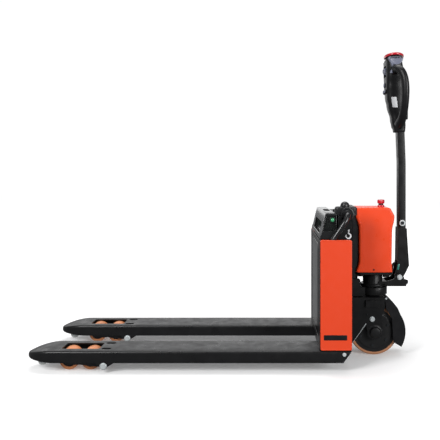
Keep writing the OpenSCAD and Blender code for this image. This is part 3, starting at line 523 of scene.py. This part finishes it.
def make_fork(side):
    """A fork with its nose, its roller opening and slots, and its lugs, cheeks and straps."""
    node = "fork_left" if side < 0 else "fork_right"
    low, high = node_box(node)
    centre = (low.y + high.y) / 2
    half = (high.y - low.y) / 2
    deck = high.z
    base = deck - 45
    joint_x = low.x + NOSE
    shape = Shape()
    shape.loft([channel_ring(high.x, centre, half, base, deck, 33), channel_ring(joint_x, centre, half, base, deck)])
    rings = []
    for i in range(15):
        turn = radians(86.5 * i / 14)
        s = sin(turn)
        top = deck - 20 * s * s
        bottom = base + 8 * s
        width = half * cos(turn) ** 0.92
        rings.append(nose_ring(joint_x - NOSE * s, centre, width, bottom, top, FORK_BEND + 2 * s, 0.3 + 6 * s))
    body = shape.loft(rings).make(node + "_body")
    x0 = low.x
    holes = Shape()
    holes.prism(rounded(x0 + 139, centre - 40, x0 + 288, centre + 40, 7), deck - 20, deck + 5, "z")
    for y in (centre - 37.5, centre + 37.5):
        holes.prism(rounded(x0 + 296, y - 10, x0 + 335, y + 10, 9), deck - 20, deck + 5, "z")
    holes.prism(rounded(376, centre - 16, 476, centre + 16, 4), deck - 20, deck + 5, "z")
    holes.prism([(joint_x + 3, base - 20), (joint_x + 3, deck - 9), (joint_x - 70, deck - 16),
        (joint_x - 84, base - 20)], centre - 34, centre + 34)
    cut(body, holes)
    complete(body, "fork_paint", "chassis", node, edges=0.9, angle=40, sharp=30)
    # the lugs of the arm pivot, the axle cheeks in the nose and the straps below
    extras = Shape()
    arm_x = x0 + 314
    arm_z = 28
    lug = ([(arm_x + 40, base + 9), (arm_x - 30, base + 9), (arm_x - 30, base)] + arc(arm_x, arm_z, 13, 205, 335, 14)
        + [(arm_x + 40, base)])
    for near, far in ((-half, SHEET - half), (half - SHEET, half)):
        extras.prism(lug, centre + near + 0.2, centre + far - 0.2)
    axle_x = x0 + 58
    for s in (-1, 1):
        cheek = arc(axle_x, 33, 6, 180, 360, 14) + arc(axle_x, base + 14, 13, 0, 180, 14)
        extras.prism(cheek, centre + min(s * 25, s * 32), centre + max(s * 25, s * 32))
    for at in (440, 700, 960):
        extras.box(x0 + at, centre - half + SHEET, base + 0.3, x0 + at + 40, centre + half - SHEET, base + 4)
    complete(extras.make(node + "_trim"), "fork_paint", "chassis", edges=0.8, sharp=30)


# ---- Battery box ---------------------------------------------------------

def make_front_cover():
    """A black frame with a glossy bowed panel set in it, with flutes down each side."""
    low, high = node_box("front_cover")
    rim = 92
    outline = rounded(low.y, low.z, high.y, high.z, 10)
    frame_piece = Shape().prism(outline, low.x + 0.8, high.x, "x").make("front_cover_frame")
    pocket = Shape()
    pocket.prism(rounded(low.y + rim, low.z + 26, high.y - rim, high.z - 22, 16), low.x - 5, low.x + 4.2, "x")
    for side in (-1, 1):
        for k in range(3):
            y = side * (high.y - rim + 20 + 20 * k)
            pocket.prism(rounded(y - 4, low.z + 40, y + 4, high.z - 36, 3.9), low.x - 5, low.x + 2.6, "x")
    cut(frame_piece, pocket)
    complete(frame_piece, "gloss_black", "chassis", "front_cover", edges=1, sharp=30, material="black_satin")
    y0, y1 = low.y + rim + 1.2, high.y - rim - 1.2
    z0, z1 = low.z + 27.2, high.z - 23.2
    rings = []
    for inset, depth in ((0, 5.2), (0, 3), (1.2, 1.6), (5, 0.5), (60, 0)):
        rings.append([(low.x + depth, y, z) for y, z in rounded(y0, z0, y1, z1, 15, 8, inset)])
    complete(Shape().loft(rings).make("front_cover_panel"), "gloss_black", "chassis", sharp=40)


def make_side_panel(side):
    """A panel with a rolled rim and a plain plate low down. The left one has a notch for the lead."""
    node = "side_panel_left" if side < 0 else "side_panel_right"
    low, high = node_box(node)
    outer = high.y if side > 0 else low.y
    inner = low.y if side > 0 else high.y

    def level(depth):
        return outer - side * depth

    rings = []
    for inset, depth in ((0, 12.4), (0, 2.6), (0.8, 0.9), (2.6, 0.15), (4.4, 0.3), (5.4, 0.9), (7.4, 0.95), (20, 0.8)):
        rings.append([(x, level(depth), z) for x, z in rounded(low.x, low.z, high.x, high.z, 6, 6, inset)])
    piece = Shape().loft(rings).make(node + "_skin")
    near, far = sorted((inner - side * 3, level(3.4)))
    hollow = Shape().box(low.x + 5, near, low.z + 6, high.x - 5, far, high.z - 8)
    if side < 0:
        near, far = sorted((level(2.8), inner + 2))
        hollow.box(412, near, high.z - 22, 444, far, high.z + 2)
    cut(piece, hollow)
    complete(piece, "panel_paint", "chassis", node, sharp=25)
    middle = (low.x + high.x) / 2
    rings = []
    for inset, depth in ((0, 0.8), (0, 0.15), (0.5, -0.1), (3, -0.12)):
        outline = rounded(middle - 48, low.z + 40, middle + 42, low.z + 60, 2.5, 6, inset)
        rings.append([(x, level(depth), z) for x, z in outline])
    complete(Shape().loft(rings).make(node + "_plate"), "black_plastic", "chassis")


def hood_end(z, low, high):
    """How far out an end of the hood is at a height."""
    return straight(z, [(low.z, 240), (low.z + 34, 236), (high.z, 220)])


def make_hood():
    """A bevelled hood with a sloping front, a finger slot on top, ribbed recesses, and the status lamp."""
    low, high = node_box("battery_hood")
    top = high.z
    front, back = 378, 446
    profile = ([(front, low.z), (back, low.z), (back, top - 6)] + arc(441, top - 5, 5, 10, 90, 5)[1:]
        + arc(406, top - 7, 7, 95, 150, 5) + [(384, low.z + 22), (379, low.z + 11)])
    rings = []
    for share in (-1, -0.985, 0.985, 1):
        shrink = 1.2 if abs(share) == 1 else 0
        ring = []
        for x, z in profile:
            x_in = min(max(x, front + shrink), back - shrink)
            z_in = min(max(z, low.z + shrink), top - shrink)
            ring.append((x_in, share * hood_end(z, low, high), z_in))
        rings.append(ring)
    piece = Shape().loft(rings).make("hood_shell")
    hollows = Shape()
    hollows.prism(rounded(413, -62, 437, 62, 9), top - 16, top + 4, "z")
    for side in (-1, 1):
        outline = [(389, low.z + 32), (441, low.z + 32), (441, top - 9), (406, top - 9)]
        reach = [side * 212, side * 260]
        hollows.prism(outline, min(reach), max(reach))
    # a long grip recess in the slope
    slope = Shape().prism([(371, 529), (395, 531), (405, 571), (381, 577)], -150, 150)
    cut(piece, hollows)
    cut(piece, slope)
    complete(piece, "gloss_black", "battery", "battery_hood", edges=1.6, angle=28, sharp=30)
    ribs = Shape()
    for side in (-1, 1):
        near, far = sorted((side * 214.5, side * 210.5))
        for k, drop in enumerate((30, 16, 12, 12, 44, 12)):
            x = 394 + 8.4 * k
            ribs.box(x - 1.3, near, low.z + 36, x + 1.3, far, top - drop)
    for k in range(11):
        y = -125 + 25 * k
        ribs.box(396, y - 1.5, 545, 402, y + 1.5, 566)
    complete(ribs.make("hood_ribs"), "gloss_black", "battery", edges=0.5, material="dark_green")
    place = (430, -213, top - 26)
    lamp = Shape().knob([(8, 9), (0, 9), (-3, 8.2), (-5.6, 5.6), (-6.8, 2.5), (-7.1, 0.2)], place)
    complete(lamp.make("lamp_lens"), "lamp_green", "battery", "status_lamp")
    ring = Shape().lathe([(1, 9.4), (-5, 9.4), (-6, 10.6), (-5, 13), (1, 13.6)], place, "y", 40)
    complete(ring.make("lamp_ring"), "black_plastic", "battery")


def make_plug():
    """The battery plug: a two-lobed body with a domed top, and a wide gland that the lead comes out of."""
    low, high = node_box("battery_plug")
    y = (low.y + 8 + high.y) / 2
    tall, dome_x = 56, 482
    base, top = high.z - tall, high.z
    shape = Shape()
    rings = []
    for inset, z in ((1.5, 0), (0, 2), (0, 27), (1, 31), (3.5, 34.5), (7, 36)):
        rings.append([(a, b, base + z) for a, b in rounded(low.x, y - 18, high.x, y + 18, 13 - inset, 7, inset)])
    shape.loft(rings)
    dome = [(top - 26, 18), (top - 19, 18), (top - 18.6, 19), (top - 16.6, 19), (top - 16.2, 17.8)]
    dome += [(top - 16.2 + 16.2 * sin(t * pi / 20), 17.8 * cos(t * pi / 20) + 0.1) for t in range(1, 11)]
    shape.knob(dome, (dome_x, y, 0), "z", 44)
    for k in range(5):
        x = low.x + 8 + 4.6 * k
        for face in (x, high.x - (x - low.x)):
            shape.box(face - 1.1, y - 19.2, base + 5, face + 1.1, y + 19.2, base + 26)
    x, z = 489, 612
    gland = [(-6, 19), (-19, 19), (-20, 21), (-20.5, 25), (-22, 26.2), (-26, 26.2), (-28, 25), (-28.6, 22),
        (-27.4, 20), (-26.8, 16.5), (-29, 15.4), (-33, 15), (-34, 14), (-34, 11.2), (-24, 11.2), (-6, 11.2)]
    shape.lathe(gland, (x, y, z), "y", 56)
    for i in range(14):
        turn = 2 * pi * i / 14
        cx, cz = x + 26 * cos(turn), z + 26 * sin(turn)
        shape.knob([(y - 26, 1.6), (y - 22, 1.6)], (cx, 0, cz), "y", 10)
    shape.knob([(-6, 18.9), (-18, 18.9), (-18, 12)], (x, y, z), "y", 40)
    complete(shape.make("plug_body"), "plug_plastic", "chassis", "battery_plug", sharp=32)


LEAD_RADIUS = 11
LEAD_ROUTE = [
    (489, -212, 612), (489, -226, 612), (487, -239, 606), (480, -248, 591),
    (470, -252, 575), (459, -252, 558), (448, -252, 542), (438, -252, 527),
    (430, -252, 513), (424, -250, 499), (420, -244, 484), (418, -234, 471),
    (418, -220, 464), (418, -206, 462), (418, -191, 462)]


def make_lead():
    """The thick lead, from the plug's gland to the side of the battery box."""
    piece = Shape().tube(smooth_route(LEAD_ROUTE, 5), LEAD_RADIUS, 24).make("battery_lead_jacket")
    complete(piece, "cable_rubber", "chassis", "battery_lead")


# ---- Drive head ----------------------------------------------------------

def cover_front(z, low, high):
    """The waisted front of the cover, as a place along X at a height."""
    return ramp(z, [(low.z, low.x), (low.z + 46, low.x + 11.5), (high.z - 82, low.x + 11.5),
        (high.z - 34, low.x + 1), (high.z, low.x + 1)])


def cover_back(z, low, high):
    """The back of the cover, with its crest below the top."""
    return straight(z, [(low.z, high.x - 9), (low.z + 40, high.x - 12), (high.z - 96, high.x - 10),
        (high.z - 80, high.x - 8), (high.z - 60, high.x - 2.5), (high.z - 40, high.x), (high.z - 32, high.x - 0.6),
        (high.z - 3, high.x - 17), (high.z, high.x - 20)])


def make_rear_cover():
    """The waisted cover of the drive head, with mould lines near its front and back edges, and a screw a side."""
    low, high = node_box("rear_cover")
    half = (high.y - low.y) / 2

    def ring(z, inset=0, radius=9, steps=10):
        front, back = cover_front(z, low, high), cover_back(z, low, high)
        return [(x, y, z) for x, y in rounded(front, low.y, back, high.y, radius, steps, inset)]

    skin = 4
    steps = 56
    rings = [ring(low.z, 1), ring(low.z + 1.5)]
    rings += [ring(low.z + (high.z - low.z - skin) * i / steps) for i in range(1, steps + 1)]
    for turn in range(15, 91, 15):
        a = radians(turn)
        rings.append(ring(high.z - skin + skin * sin(a), skin * (1 - cos(a))))
    rings.append([(x, y, high.z + 0.4) for x, y in rounded(low.x + 44, low.y + 30, high.x - 54, high.y - 30, 10, 10)])
    piece = Shape().loft(rings).make("rear_cover_shell")
    cut(piece, Shape().loft([ring(low.z - 1 + (high.z - low.z - 5) * i / 20, skin, 6, 8) for i in range(21)]))
    stop = mid("stop_button")
    grooves = Shape()
    grooves.knob([(high.z - 20, 11.3), (high.z + 5, 11.3)], (stop.x, stop.y, 0), "z", 40)
    for side in (-1, 1):
        front, back = [], []
        for i in range(25):
            z = low.z + (high.z - low.z) * (i / 24) * 0.94 + 6
            y = side * (half + 0.4)
            inset = ramp(z, [(low.z, 24), (low.z + 120, 13), (high.z, 11)])
            front.append(Vector((cover_front(z, low, high) + inset, y, z)))
            back.append(Vector((cover_back(z, low, high) - 11.5, y, z)))
        grooves.tube(front, 1.1, 8, up=(0, 1, 0))
        grooves.tube(back, 1.1, 8, up=(0, 1, 0))
    cut(piece, grooves)
    complete(piece, "cover_plastic", "drive_unit", "rear_cover", sharp=38)
    screws = Shape()
    for side in (-1, 1):
        y = side * (half - 0.4)
        screws.screw((616, y, 369), 3.6, side)
    complete(screws.make("cover_screws"), "bolt_zinc", "drive_unit", material="screw_black")


def make_stop_button():
    """The knob of the emergency stop, fluted and dished, over a collar nearly as wide."""
    low, high = node_box("stop_button")
    centre = mid("stop_button")
    rings = []
    table = ((low.z, 7, 0), (high.z - 16.6, 7, 0), (high.z - 16.4, 12.5, 0), (high.z - 15.6, 14.6, 0.3),
        (high.z - 14, 15.2, 0.6), (high.z - 4, 15.4, 0.6), (high.z - 1.6, 14.4, 0.3), (high.z - 0.2, 11.5, 0),
        (high.z, 8, 0), (high.z - 0.6, 3, 0))
    for z, r, flute in table:
        ring = []
        for i in range(96):
            t = 2 * pi * i / 96
            radius = r - flute if i % 8 < 3 else r
            ring.append((centre.x + radius * cos(t), centre.y + radius * sin(t), z))
        rings.append(ring)
    complete(Shape().loft(rings).make("stop_knob_head"), "button_red", "stop_knob", "stop_button", sharp=50)
    base = node_box("stop_collar")[1].z
    axis = (centre.x, centre.y, 0)
    collar = Shape().lathe([(base - 22, 7.3), (base - 22, 10.6), (base - 7, 10.6), (base - 7, 14.6), (base - 5.6, 15),
        (base - 1, 14.6), (base, 13.6), (base, 11.6), (base - 6.2, 11.2), (base - 6.2, 7.3)], axis, "z", 56)
    complete(collar.make("stop_ring"), "button_red", "drive_unit", "stop_collar", sharp=40)
    # the neck between the collar and the knob gets a much darker copy of the button's red: painted shade for the gap
    # under the knob
    neck = Shape().lathe([(base - 0.8, 7.1), (base - 0.8, 10.6), (high.z - 16.8, 10.6), (high.z - 16.8, 7.1)],
        axis, "z")
    complete(neck.make("stop_neck"), "button_red", "stop_knob", material="neck_red_painted_shade")


TUBE_HALF = 15.5
CLAMP_Z = 560


def make_tiller_tube():
    """The rounded square tube of the tiller, which leans forwards a little near its top."""
    middle = node_box("tiller_tube")[1].x - TUBE_HALF
    rings = []
    for z, lean in ((402, 0), (600, 0), (800, 0), (822, 0.2), (840, 0.8), (860, 1.6), (930, 4.2), (1006, 7)):
        x = middle - lean
        rings.append([(a, b, z) for a, b in rounded(x - TUBE_HALF, -25, x + TUBE_HALF, 25, 5.5, 6)])
    complete(Shape().loft(rings).make("tiller_tube_body"), "frame_paint", "tiller", "tiller_tube", sharp=30)
    clamp = Shape()
    for side in (-1, 1):
        clamp.lathe([(side * 24.6, 7.5), (side * 24.6, 13), (side * 26.4, 13), (side * 27, 12.2), (side * 27, 7.5)],
            (middle, 0, CLAMP_Z), "y", 44)
    complete(clamp.make("tube_washer"), "bolt_zinc", "tiller")
    head = Shape()
    for side in (-1, 1):
        head.knob([(side * 24.6, 7.4), (side * 28.4, 7.4), (side * 29.6, 6.4), (side * 29.6, 3.6), (side * 27, 3.2),
            (side * 27, 0.1)], (middle, 0, CLAMP_Z), "y", 36)
    complete(head.make("tube_bolt"), "bolt_zinc", "tiller", material="bolt_dark")


# ---- Tiller head ---------------------------------------------------------

HEAD_FRONT = [(948, 714), (1007, 701), (1060, 687), (1098, 680), (1140, 677), (1222, 676), (1262, 678)]
HEAD_BACK = [(948, 761), (975, 763), (1018, 760), (1098, 755), (1202, 750), (1262, 743)]
HEAD_HALF = [(948, 30), (1008, 36), (1080, 43), (1152, 50), (1195, 58), (1225, 63), (1262, 61)]


def egg(x0, x1, half, front=0.72, back=0.45, steps=14):
    """The head's outline seen from above: a full round front and a flatter back."""
    points = []
    mid_x = x0 + (x1 - x0) * 0.55
    for i in range(4 * steps):
        turn = 2 * pi * i / (4 * steps)
        c, d = cos(turn), sin(turn)
        power = back if c > 0 else front
        x = mid_x + (x1 - mid_x if c > 0 else mid_x - x0) * copysign(abs(c) ** power, c)
        points.append((x, half * copysign(abs(d) ** 0.5, d)))
    return points


def make_head():
    """The head's shell: narrow at the tube, broad at the belly button, with a full round front."""
    rings = []
    levels = [(948, 3), (949.2, 1), (951.5, 0)] + [(958 + 10 * i, 0) for i in range(30)]
    levels += [(1256, 0.5), (1260, 2), (1262, 4.5)]
    for z, shrink in levels:
        x0 = ramp(z, HEAD_FRONT) + shrink
        x1 = ramp(z, HEAD_BACK) - shrink
        half = ramp(z, HEAD_HALF) - shrink
        rings.append([(x, y, z) for x, y in egg(x0, x1, half)])
    piece = Shape().loft(rings).make("head_body")
    hollow = Shape()
    for node in ("horn_button", "lift_button", "lower_button"):
        centre = mid(node)
        low, high = node_box(node)
        radius = (high.z - low.z) / 2 + 0.5
        hollow.knob([(650, radius), (690, radius)], (0, centre.y, centre.z), "x", 32)
    hollow.box(660, -27, 1184, 706, 27, 1232)
    hollow.box(683, -50.5, 1254, 736.5, 50.5, 1270)
    hollow.knob([(746, 8.1), (770, 8.1)], (0, 0, 1080), "x", 32)
    hollow.box(723.5, -25.6, 940, 759, 25.6, 1008)
    cut(piece, hollow)
    complete(piece, "black_plastic", "tiller", "head_shell", sharp=36, edges=0.5, angle=50)


GRIP_ROUTE = [
    (706, -44, 1208), (710, -66, 1211), (717, -88, 1207), (726, -104, 1195),
    (734, -112, 1174), (739, -115, 1147), (741, -114, 1116), (741, -109, 1084),
    (740, -99, 1050), (738, -84, 1020), (735, -66, 998), (732, -48, 985),
    (729, -34, 978)]
GRIP_RADIUS = [(0, 23), (0.12, 18.5), (0.3, 18), (0.5, 18), (0.66, 18), (0.8, 20), (0.92, 22.5), (1, 21.5)]


def make_grip(side):
    """A loop from the top of the head to its foot, full where the hand holds it, with a big round end below."""
    node = "grip_left" if side < 0 else "grip_right"
    route = smooth_route([(x, -side * y, z) for x, y, z in GRIP_ROUTE], 5)
    shape = Shape().tube(route, lambda share: ramp(share, GRIP_RADIUS), 32, flat=0.84, up=(1, 0, 0.2))
    piece = shape.make(node + "_loop")
    complete(piece, "black_plastic", "tiller", node, sharp=60)


def make_head_trim():
    """Grey trims below the red cap on each side, a plain sticker, and the key's ring and fob."""
    bowl_x, bowl_z = 712, 1257
    bowl = Shape()
    for side in (-1, 1):
        outline = [(x, bowl_z + (z - bowl_z) * 0.96) for x, z in arc(bowl_x, bowl_z, 30, 180, 360, 20)]
        rings = []
        for y, grow in ((55, 1), (65.5, 1), (67.4, 0.94), (68, 0.8), (67.2, 0.70), (67.2, 0.3)):
            rings.append([(bowl_x + (x - bowl_x) * grow, side * y, bowl_z + (z - bowl_z) * grow - (1 - grow) * 9)
                for x, z in outline])
        bowl.loft(rings)
        stem = smooth_route([(690, side * 64.5, 1247), (693, side * 65, 1236), (698, side * 64.5, 1224),
            (697, side * 63, 1208), (693, side * 60.5, 1194)], 5)
        bowl.tube(stem, lambda t: ramp(t, [(0, 3.4), (0.5, 4.4), (1, 6)]), 14, flat=1, up=(0, 1, 0))
    complete(bowl.make("head_trim"), "control_grey", "tiller", sharp=40)
    rings = []
    for depth, inset in ((0, 0), (0.5, 0), (0.6, 0.4)):
        ring = []
        for u, v in rounded(-11, -22, 11, 22, 2, 5, inset):
            ring.append((710 + u - 0.14 * v, -(ramp(1074 + v, HEAD_HALF) + 0.15 + depth), 1074 + v))
        rings.append(ring)
    complete(Shape().loft(rings).make("head_sticker"), "roller_nylon", "tiller", material="sticker")
    wire = [(772 + 0.9 * cos(k * pi / 4), 13 + 0.9 * sin(k * pi / 4)) for k in range(8)]
    ring = Shape().lathe(wire, (0, 0, 1069), "x", 40)
    complete(ring.make("key_ring"), "bolt_zinc", "tiller")
    rings = []
    for x, inset in ((768.4, 1.2), (769.2, 0), (773.6, 0), (774.4, 1.2)):
        rings.append([(x, y, z) for y, z in rounded(-11, 1004, 11, 1056, 8, 6, inset)])
    complete(Shape().loft(rings).make("key_fob"), "black_plastic", "tiller")


CROWN_RADIUS = 85


def make_belly_button():
    """The red cap over the head: crowned along and across, with a rolled rim, on a black stem."""
    low, high = node_box("belly_button")
    mid_x = (low.x + high.x) / 2 + 1.5
    half_x, half_y = (high.x - low.x) / 2 - 2, (high.y - low.y) / 2 + 1
    crown = high.z - CROWN_RADIUS

    def plan(grow, radius, lift):
        """A ring of the cap: an outline that follows a round crest of this radius."""
        ring = []
        for i in range(72):
            turn = 2 * pi * i / 72
            c, d = cos(turn), sin(turn)
            x = half_x * grow * copysign(abs(c) ** 0.95, c)
            y = half_y * grow * copysign(abs(d) ** 0.72, d)
            z = crown + sqrt(radius * radius - x * x) - (y / half_y) ** 2 * 6 - 2
            ring.append((mid_x + x, y, z + lift))
        return ring

    table = ((0.05, 79.5, 0), (0.4, 79.5, 0), (0.7, 79.5, 0), (0.88, 79, 0), (0.91, 76.4, 0), (0.96, 75.4, -0.4),
        (0.99, 75.5, 0), (1, 76.5, 0), (1, 80, 0), (0.993, 83, 0), (0.97, 84.2, 0), (0.93, 84.8, 0),
        (0.7, CROWN_RADIUS, 0), (0.4, CROWN_RADIUS, 0), (0.1, CROWN_RADIUS, 0))
    piece = Shape().loft([plan(*row) for row in table]).make("belly_cap")
    complete(piece, "button_red", "belly_switch", "belly_button", sharp=60)
    stem = Shape().prism(rounded(691.5, -42.5, 728.5, 42.5, 5), 1266.6, 1281, "z")
    complete(stem.make("belly_stem"), "black_plastic", "belly_switch", edges=0.8)


def make_face_buttons():
    """Round face buttons with dished tops, each on its own switch."""
    for kind in ("horn", "lift", "lower"):
        node = kind + "_button"
        low, high = node_box(node)
        centre = mid(node)
        r = (high.z - low.z) / 2
        shape = Shape().knob([(high.x, r * 0.98), (low.x + 1.4, r), (low.x + 0.4, r * 0.92), (low.x, r * 0.8),
            (low.x + 0.7, r * 0.5), (low.x + 1, r * 0.02)], (0, centre.y, centre.z), "x", 36)
        complete(shape.make(node + "_cap"), "control_grey", kind + "_switch", node)
        collar = Shape().lathe([(684, r + 0.6), (674.4, r + 0.6), (674, r + 1.4), (674.6, r + 2.6), (684, r + 3.4)],
            (0, centre.y, centre.z), "x", 40)
        complete(collar.make(node + "_collar"), "black_plastic", "tiller")


# ---- Wheels --------------------------------------------------------------

def make_load_roller(node):
    """A polyurethane roller on a steel core, with a bearing in each end."""
    low, high = node_box(node)
    centre = (low + high) / 2
    half = (high.y - low.y) / 2
    r = (high.z - low.z) / 2
    core = 27
    outline = two_ended(half, [(1.5, core), (0, core + 1.5), (0, r - 6), (2.5, r - 1.6), (6, r)])
    tyre = Shape().lathe(outline, centre, "y", 64)
    complete(tyre.make(node + "_tread"), "tread", node, node)
    outline = two_ended(half, [(0.8, core), (0.8, 20), (3, 19.4), (3, 16), (1.4, 15.4), (1.4, 8.2)])
    hub = Shape().lathe(outline, centre)
    complete(hub.make(node + "_hub"), "tread", node, material="hub_iron")


def make_drive_wheel():
    """The tyre with its rounded shoulders, and a dark cap with a thin bright ring over each axle nut."""
    low, high = node_box("drive_tyre")
    r = 105
    centre = Vector((624, (low.y + high.y) / 2, r))
    half = (high.y - low.y) / 2
    inner = 92.1
    outline = two_ended(half, [(0, inner), (0, r - 7), (1.6, r - 3), (5, r - 0.6), (8, r)])
    complete(Shape().lathe(outline, centre, "y", 96).make("drive_tyre_tread"), "tread", "drive_wheel", "drive_tyre",
        material="drive_tread")
    reach = node_box("yoke_bolts")[1].y
    cap = Shape()
    ring = Shape()
    for side in (-1, 1):
        cap.knob([(side * a, b) for a, b in ((64.6, 31), (68, 31), (69, 29.6), (69, 27), (70, 25))]
            + [(side * (reach + 1.2), 19), (side * (reach + 2), 16), (side * (reach + 2), 0.2)],
            (centre.x, 0, centre.z), "y", 56)
        ring.lathe([(side * 64.6, 31.4), (side * 66.4, 31.6), (side * 67, 32.6), (side * 66.4, 33.6),
            (side * 64.6, 33.8)], (centre.x, 0, centre.z), "y", 64)
    complete(cap.make("axle_caps"), "hub_iron", "drive_unit", sharp=30)
    complete(ring.make("axle_rings"), "hub_iron", "drive_unit", material="bolt_dark")


# ---- Small parts ---------------------------------------------------------

def make_hook_mark():
    """A plain hook shape that marks the lifting eye, with no lettering."""
    shape = Shape()
    x, z = 492, 533
    path = [(x + 1, z + 18), (x + 1, z + 10), (x - 1, z + 4)] + arc(x - 1, z - 7, 9.5, 75, -212, 18)
    widths = [3.8, 1.8, 2] + [2.4 + 1.0 * sin(pi * min(1, i / 15)) - i * 0.05 for i in range(19)]
    for side in (-1, 1):
        y = side * 224.5
        near, far = [], []
        for i, (px, pz) in enumerate(path):
            a = path[max(i - 1, 0)]
            b = path[min(i + 1, len(path) - 1)]
            d = Vector((b[0] - a[0], b[1] - a[1])).normalized()
            w = max(widths[i], 0.5)
            near.append((px - d.y * w, pz + d.x * w))
            far.append((px + d.y * w, pz - d.x * w))
        for (a, b), (c, d) in zip(zip(near, far), zip(near[1:], far[1:])):
            shape.loft([[(q[0], y - side * 0.6, q[1]) for q in (a, b, d, c)], [(q[0], y, q[1]) for q in (a, b, d, c)]])
    complete(shape.make("hook_mark"), "roller_nylon", "chassis", material="sticker")


def make_small_bolts():
    """Bright bolts on the mudguard, and dark ones on the yoke."""
    bright, dark = Shape(), Shape()
    for side in (-1, 1):
        bright.screw((672, side * 56, 244), 4.4, side)
        dark.screw((590, side * 68, 180), 3.5, side)
        for x in (588, 636):
            dark.screw((x, side * 68, 225), 2.6, side)
    complete(bright.make("guard_screws"), "bolt_zinc", "drive_unit")
    complete(dark.make("yoke_screws"), "bolt_zinc", "drive_unit", material="bolt_dark")


def make_foot_trim():
    """A teal cable tag on the edge of the tiller's foot, and a thin bright zinc strip along the wing plate's edge: a
    painted highlight.
    """
    foot = node_box("tiller_foot")[0]
    rings = []
    for y, inset in ((foot.y + 2, 0), (foot.y - 0.9, 0), (foot.y - 1.4, 0.8)):
        rings.append([(x + (386 - z) * -0.18, y, z) for x, z in rounded(727, 361, 735, 386, 2.4, 6, inset)])
    complete(Shape().loft(rings).make("cable_tag"), "lamp_green", "tiller", material="teal_tip")
    # a bright zinc strip along the wing plate's edge, standing in for the highlight on it: painted highlight
    edge = Shape()
    for side in (-1, 1):
        route = [Vector((x, side * 68.6, z)) for x, z in ((530, 63), (545, 84), (560, 105), (575, 127), (586, 142))]
        edge.tube(route, lambda t: ramp(t, [(0, 0.9), (0.5, 1.5), (1, 2.2)]), 8, up=(0, 1, 0))
    complete(edge.make("wing_edge_painted_highlight"), "bolt_zinc", "drive_unit")


def make_throttle():
    """The butterfly throttle: a ribbed barrel between two curved thumb paddles."""
    axis_x, axis_z = 686, 1206
    barrel = two_ended(25, [(0, 0.2), (0, 8.8), (1, 9.8), (19, 9.8), (20, 9)])
    shape = Shape().lathe(barrel, (axis_x, 0, axis_z), "y", 40)
    paddle = [(684, 1197), (679, 1198), (674, 1203), (671.6, 1210), (671, 1217), (673, 1222), (678, 1222), (686, 1216)]
    for near in (-25, 5):
        rings = []
        for y, inset in ((0, 1.4), (1.2, 0.2), (3, 0), (17, 0), (18.8, 0.2), (20, 1.4)):
            rings.append([(px + inset * (0.5 if px < 676 else -0.5), near + y,
                pz + inset * (0.5 if pz < 1209 else -0.5)) for px, pz in paddle])
        shape.loft(rings)
    complete(shape.make("throttle_paddles"), "control_grey", "thumb_throttle", "throttle", sharp=40)


CABLE_RADIUS = 5
CABLE_ROUTE = [(730, -12, 388), (720, -12, 388), (713, -12, 385), (708, -12, 377), (706, -12, 366),
               (704, -12, 354), (699, -12, 343), (691, -12, 335), (680, -12, 331), (666, -12, 331)]


def make_spring_and_cable():
    """The spring round the pivot and the control cable, baked into place."""
    px, pz = mid("tiller_pin").x, mid("tiller_pin").z
    coil = [(px - 21, -9, pz - 14.2), (px - 14, -9, pz - 13.6), (px - 7, -9, pz - 13)]
    for i in range(73):
        turn = radians(15 * i - 90)
        coil.append((px + 12.4 * cos(turn), -9 + 18 * i / 72, pz + 12.4 * sin(turn)))
    coil += [(px + 7, 9, pz - 10.9), (px + 14, 9, pz - 9.4), (px + 21, 9, pz - 7.9)]
    spring = Shape().tube([Vector(p) for p in coil], 1.8, 10, up=(0, 1, 0)).make("spring_wire")
    cable = Shape().tube(smooth_route(CABLE_ROUTE, 5), CABLE_RADIUS, 18, up=(0, 1, 0)).make("cable_jacket")
    for piece, node, slot, start, end in ((spring, "return_spring", "spring_steel", (px, -9, pz), (px, 9, pz)),
            (cable, "tiller_cable", "cable_rubber", (680, -12, 331), (722, -12, 388))):
        finish(piece, slot, 50)
        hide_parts(node)
        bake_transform(piece)


# CAD nodes that are shown as they are, with the width of their softened edges
SHOWN_AS_MADE = {
    "heel_frame": 1.0, "mast_frame": 1.2, "lift_rod": 0.8, "rod_cap": 1.5, "frame_pins": 0.5, "battery_pack": 3.0,
    "lift_carriage": 1.0, "lift_cylinder": 1.5, "steer_bearing": 0.6, "steer_column": 1.5, "drive_yoke": 1.4,
    "yoke_bolts": 0.8, "mudguard": 1.3, "head_base": 2.0, "tank_housing": 2.0, "pump_motor": 2.0,
    "tiller_bracket": 1.2, "tiller_pin": 0.6, "hub_motor": 1.5,
    "hub_bolts": 0.5, "tiller_foot": 2.2, "head_bezel": 0.8, "key": 0.5, "bell_crank": 0.8,
    "push_rod_left": 0.8, "push_rod_right": 0.8, "roller_arm_left": 0.8, "roller_arm_right": 0.8, "bogie_left": 0.8,
    "bogie_right": 0.8, "entry_roller_left": 1.5, "entry_roller_right": 1.5,
}

make_camera()
make_studio()
make_floor()
for name in nodes:
    dress_node(name)
nodes["hub_bolts"].data.materials[0] = MATERIALS["bolt_dark"]
for name, width in SHOWN_AS_MADE.items():
    soften(nodes[name], width)
for side in (-1, 1):
    make_fork(side)
    make_side_panel(side)
    make_grip(side)
make_front_cover()
make_hood()
make_plug()
make_lead()
make_rear_cover()
make_stop_button()
make_tiller_tube()
make_head()
make_head_trim()
make_belly_button()
make_face_buttons()
for name in ("front_roller_left", "rear_roller_left", "front_roller_right", "rear_roller_right"):
    make_load_roller(name)
make_drive_wheel()
make_hook_mark()
make_small_bolts()
make_throttle()
make_foot_trim()
make_spring_and_cable()
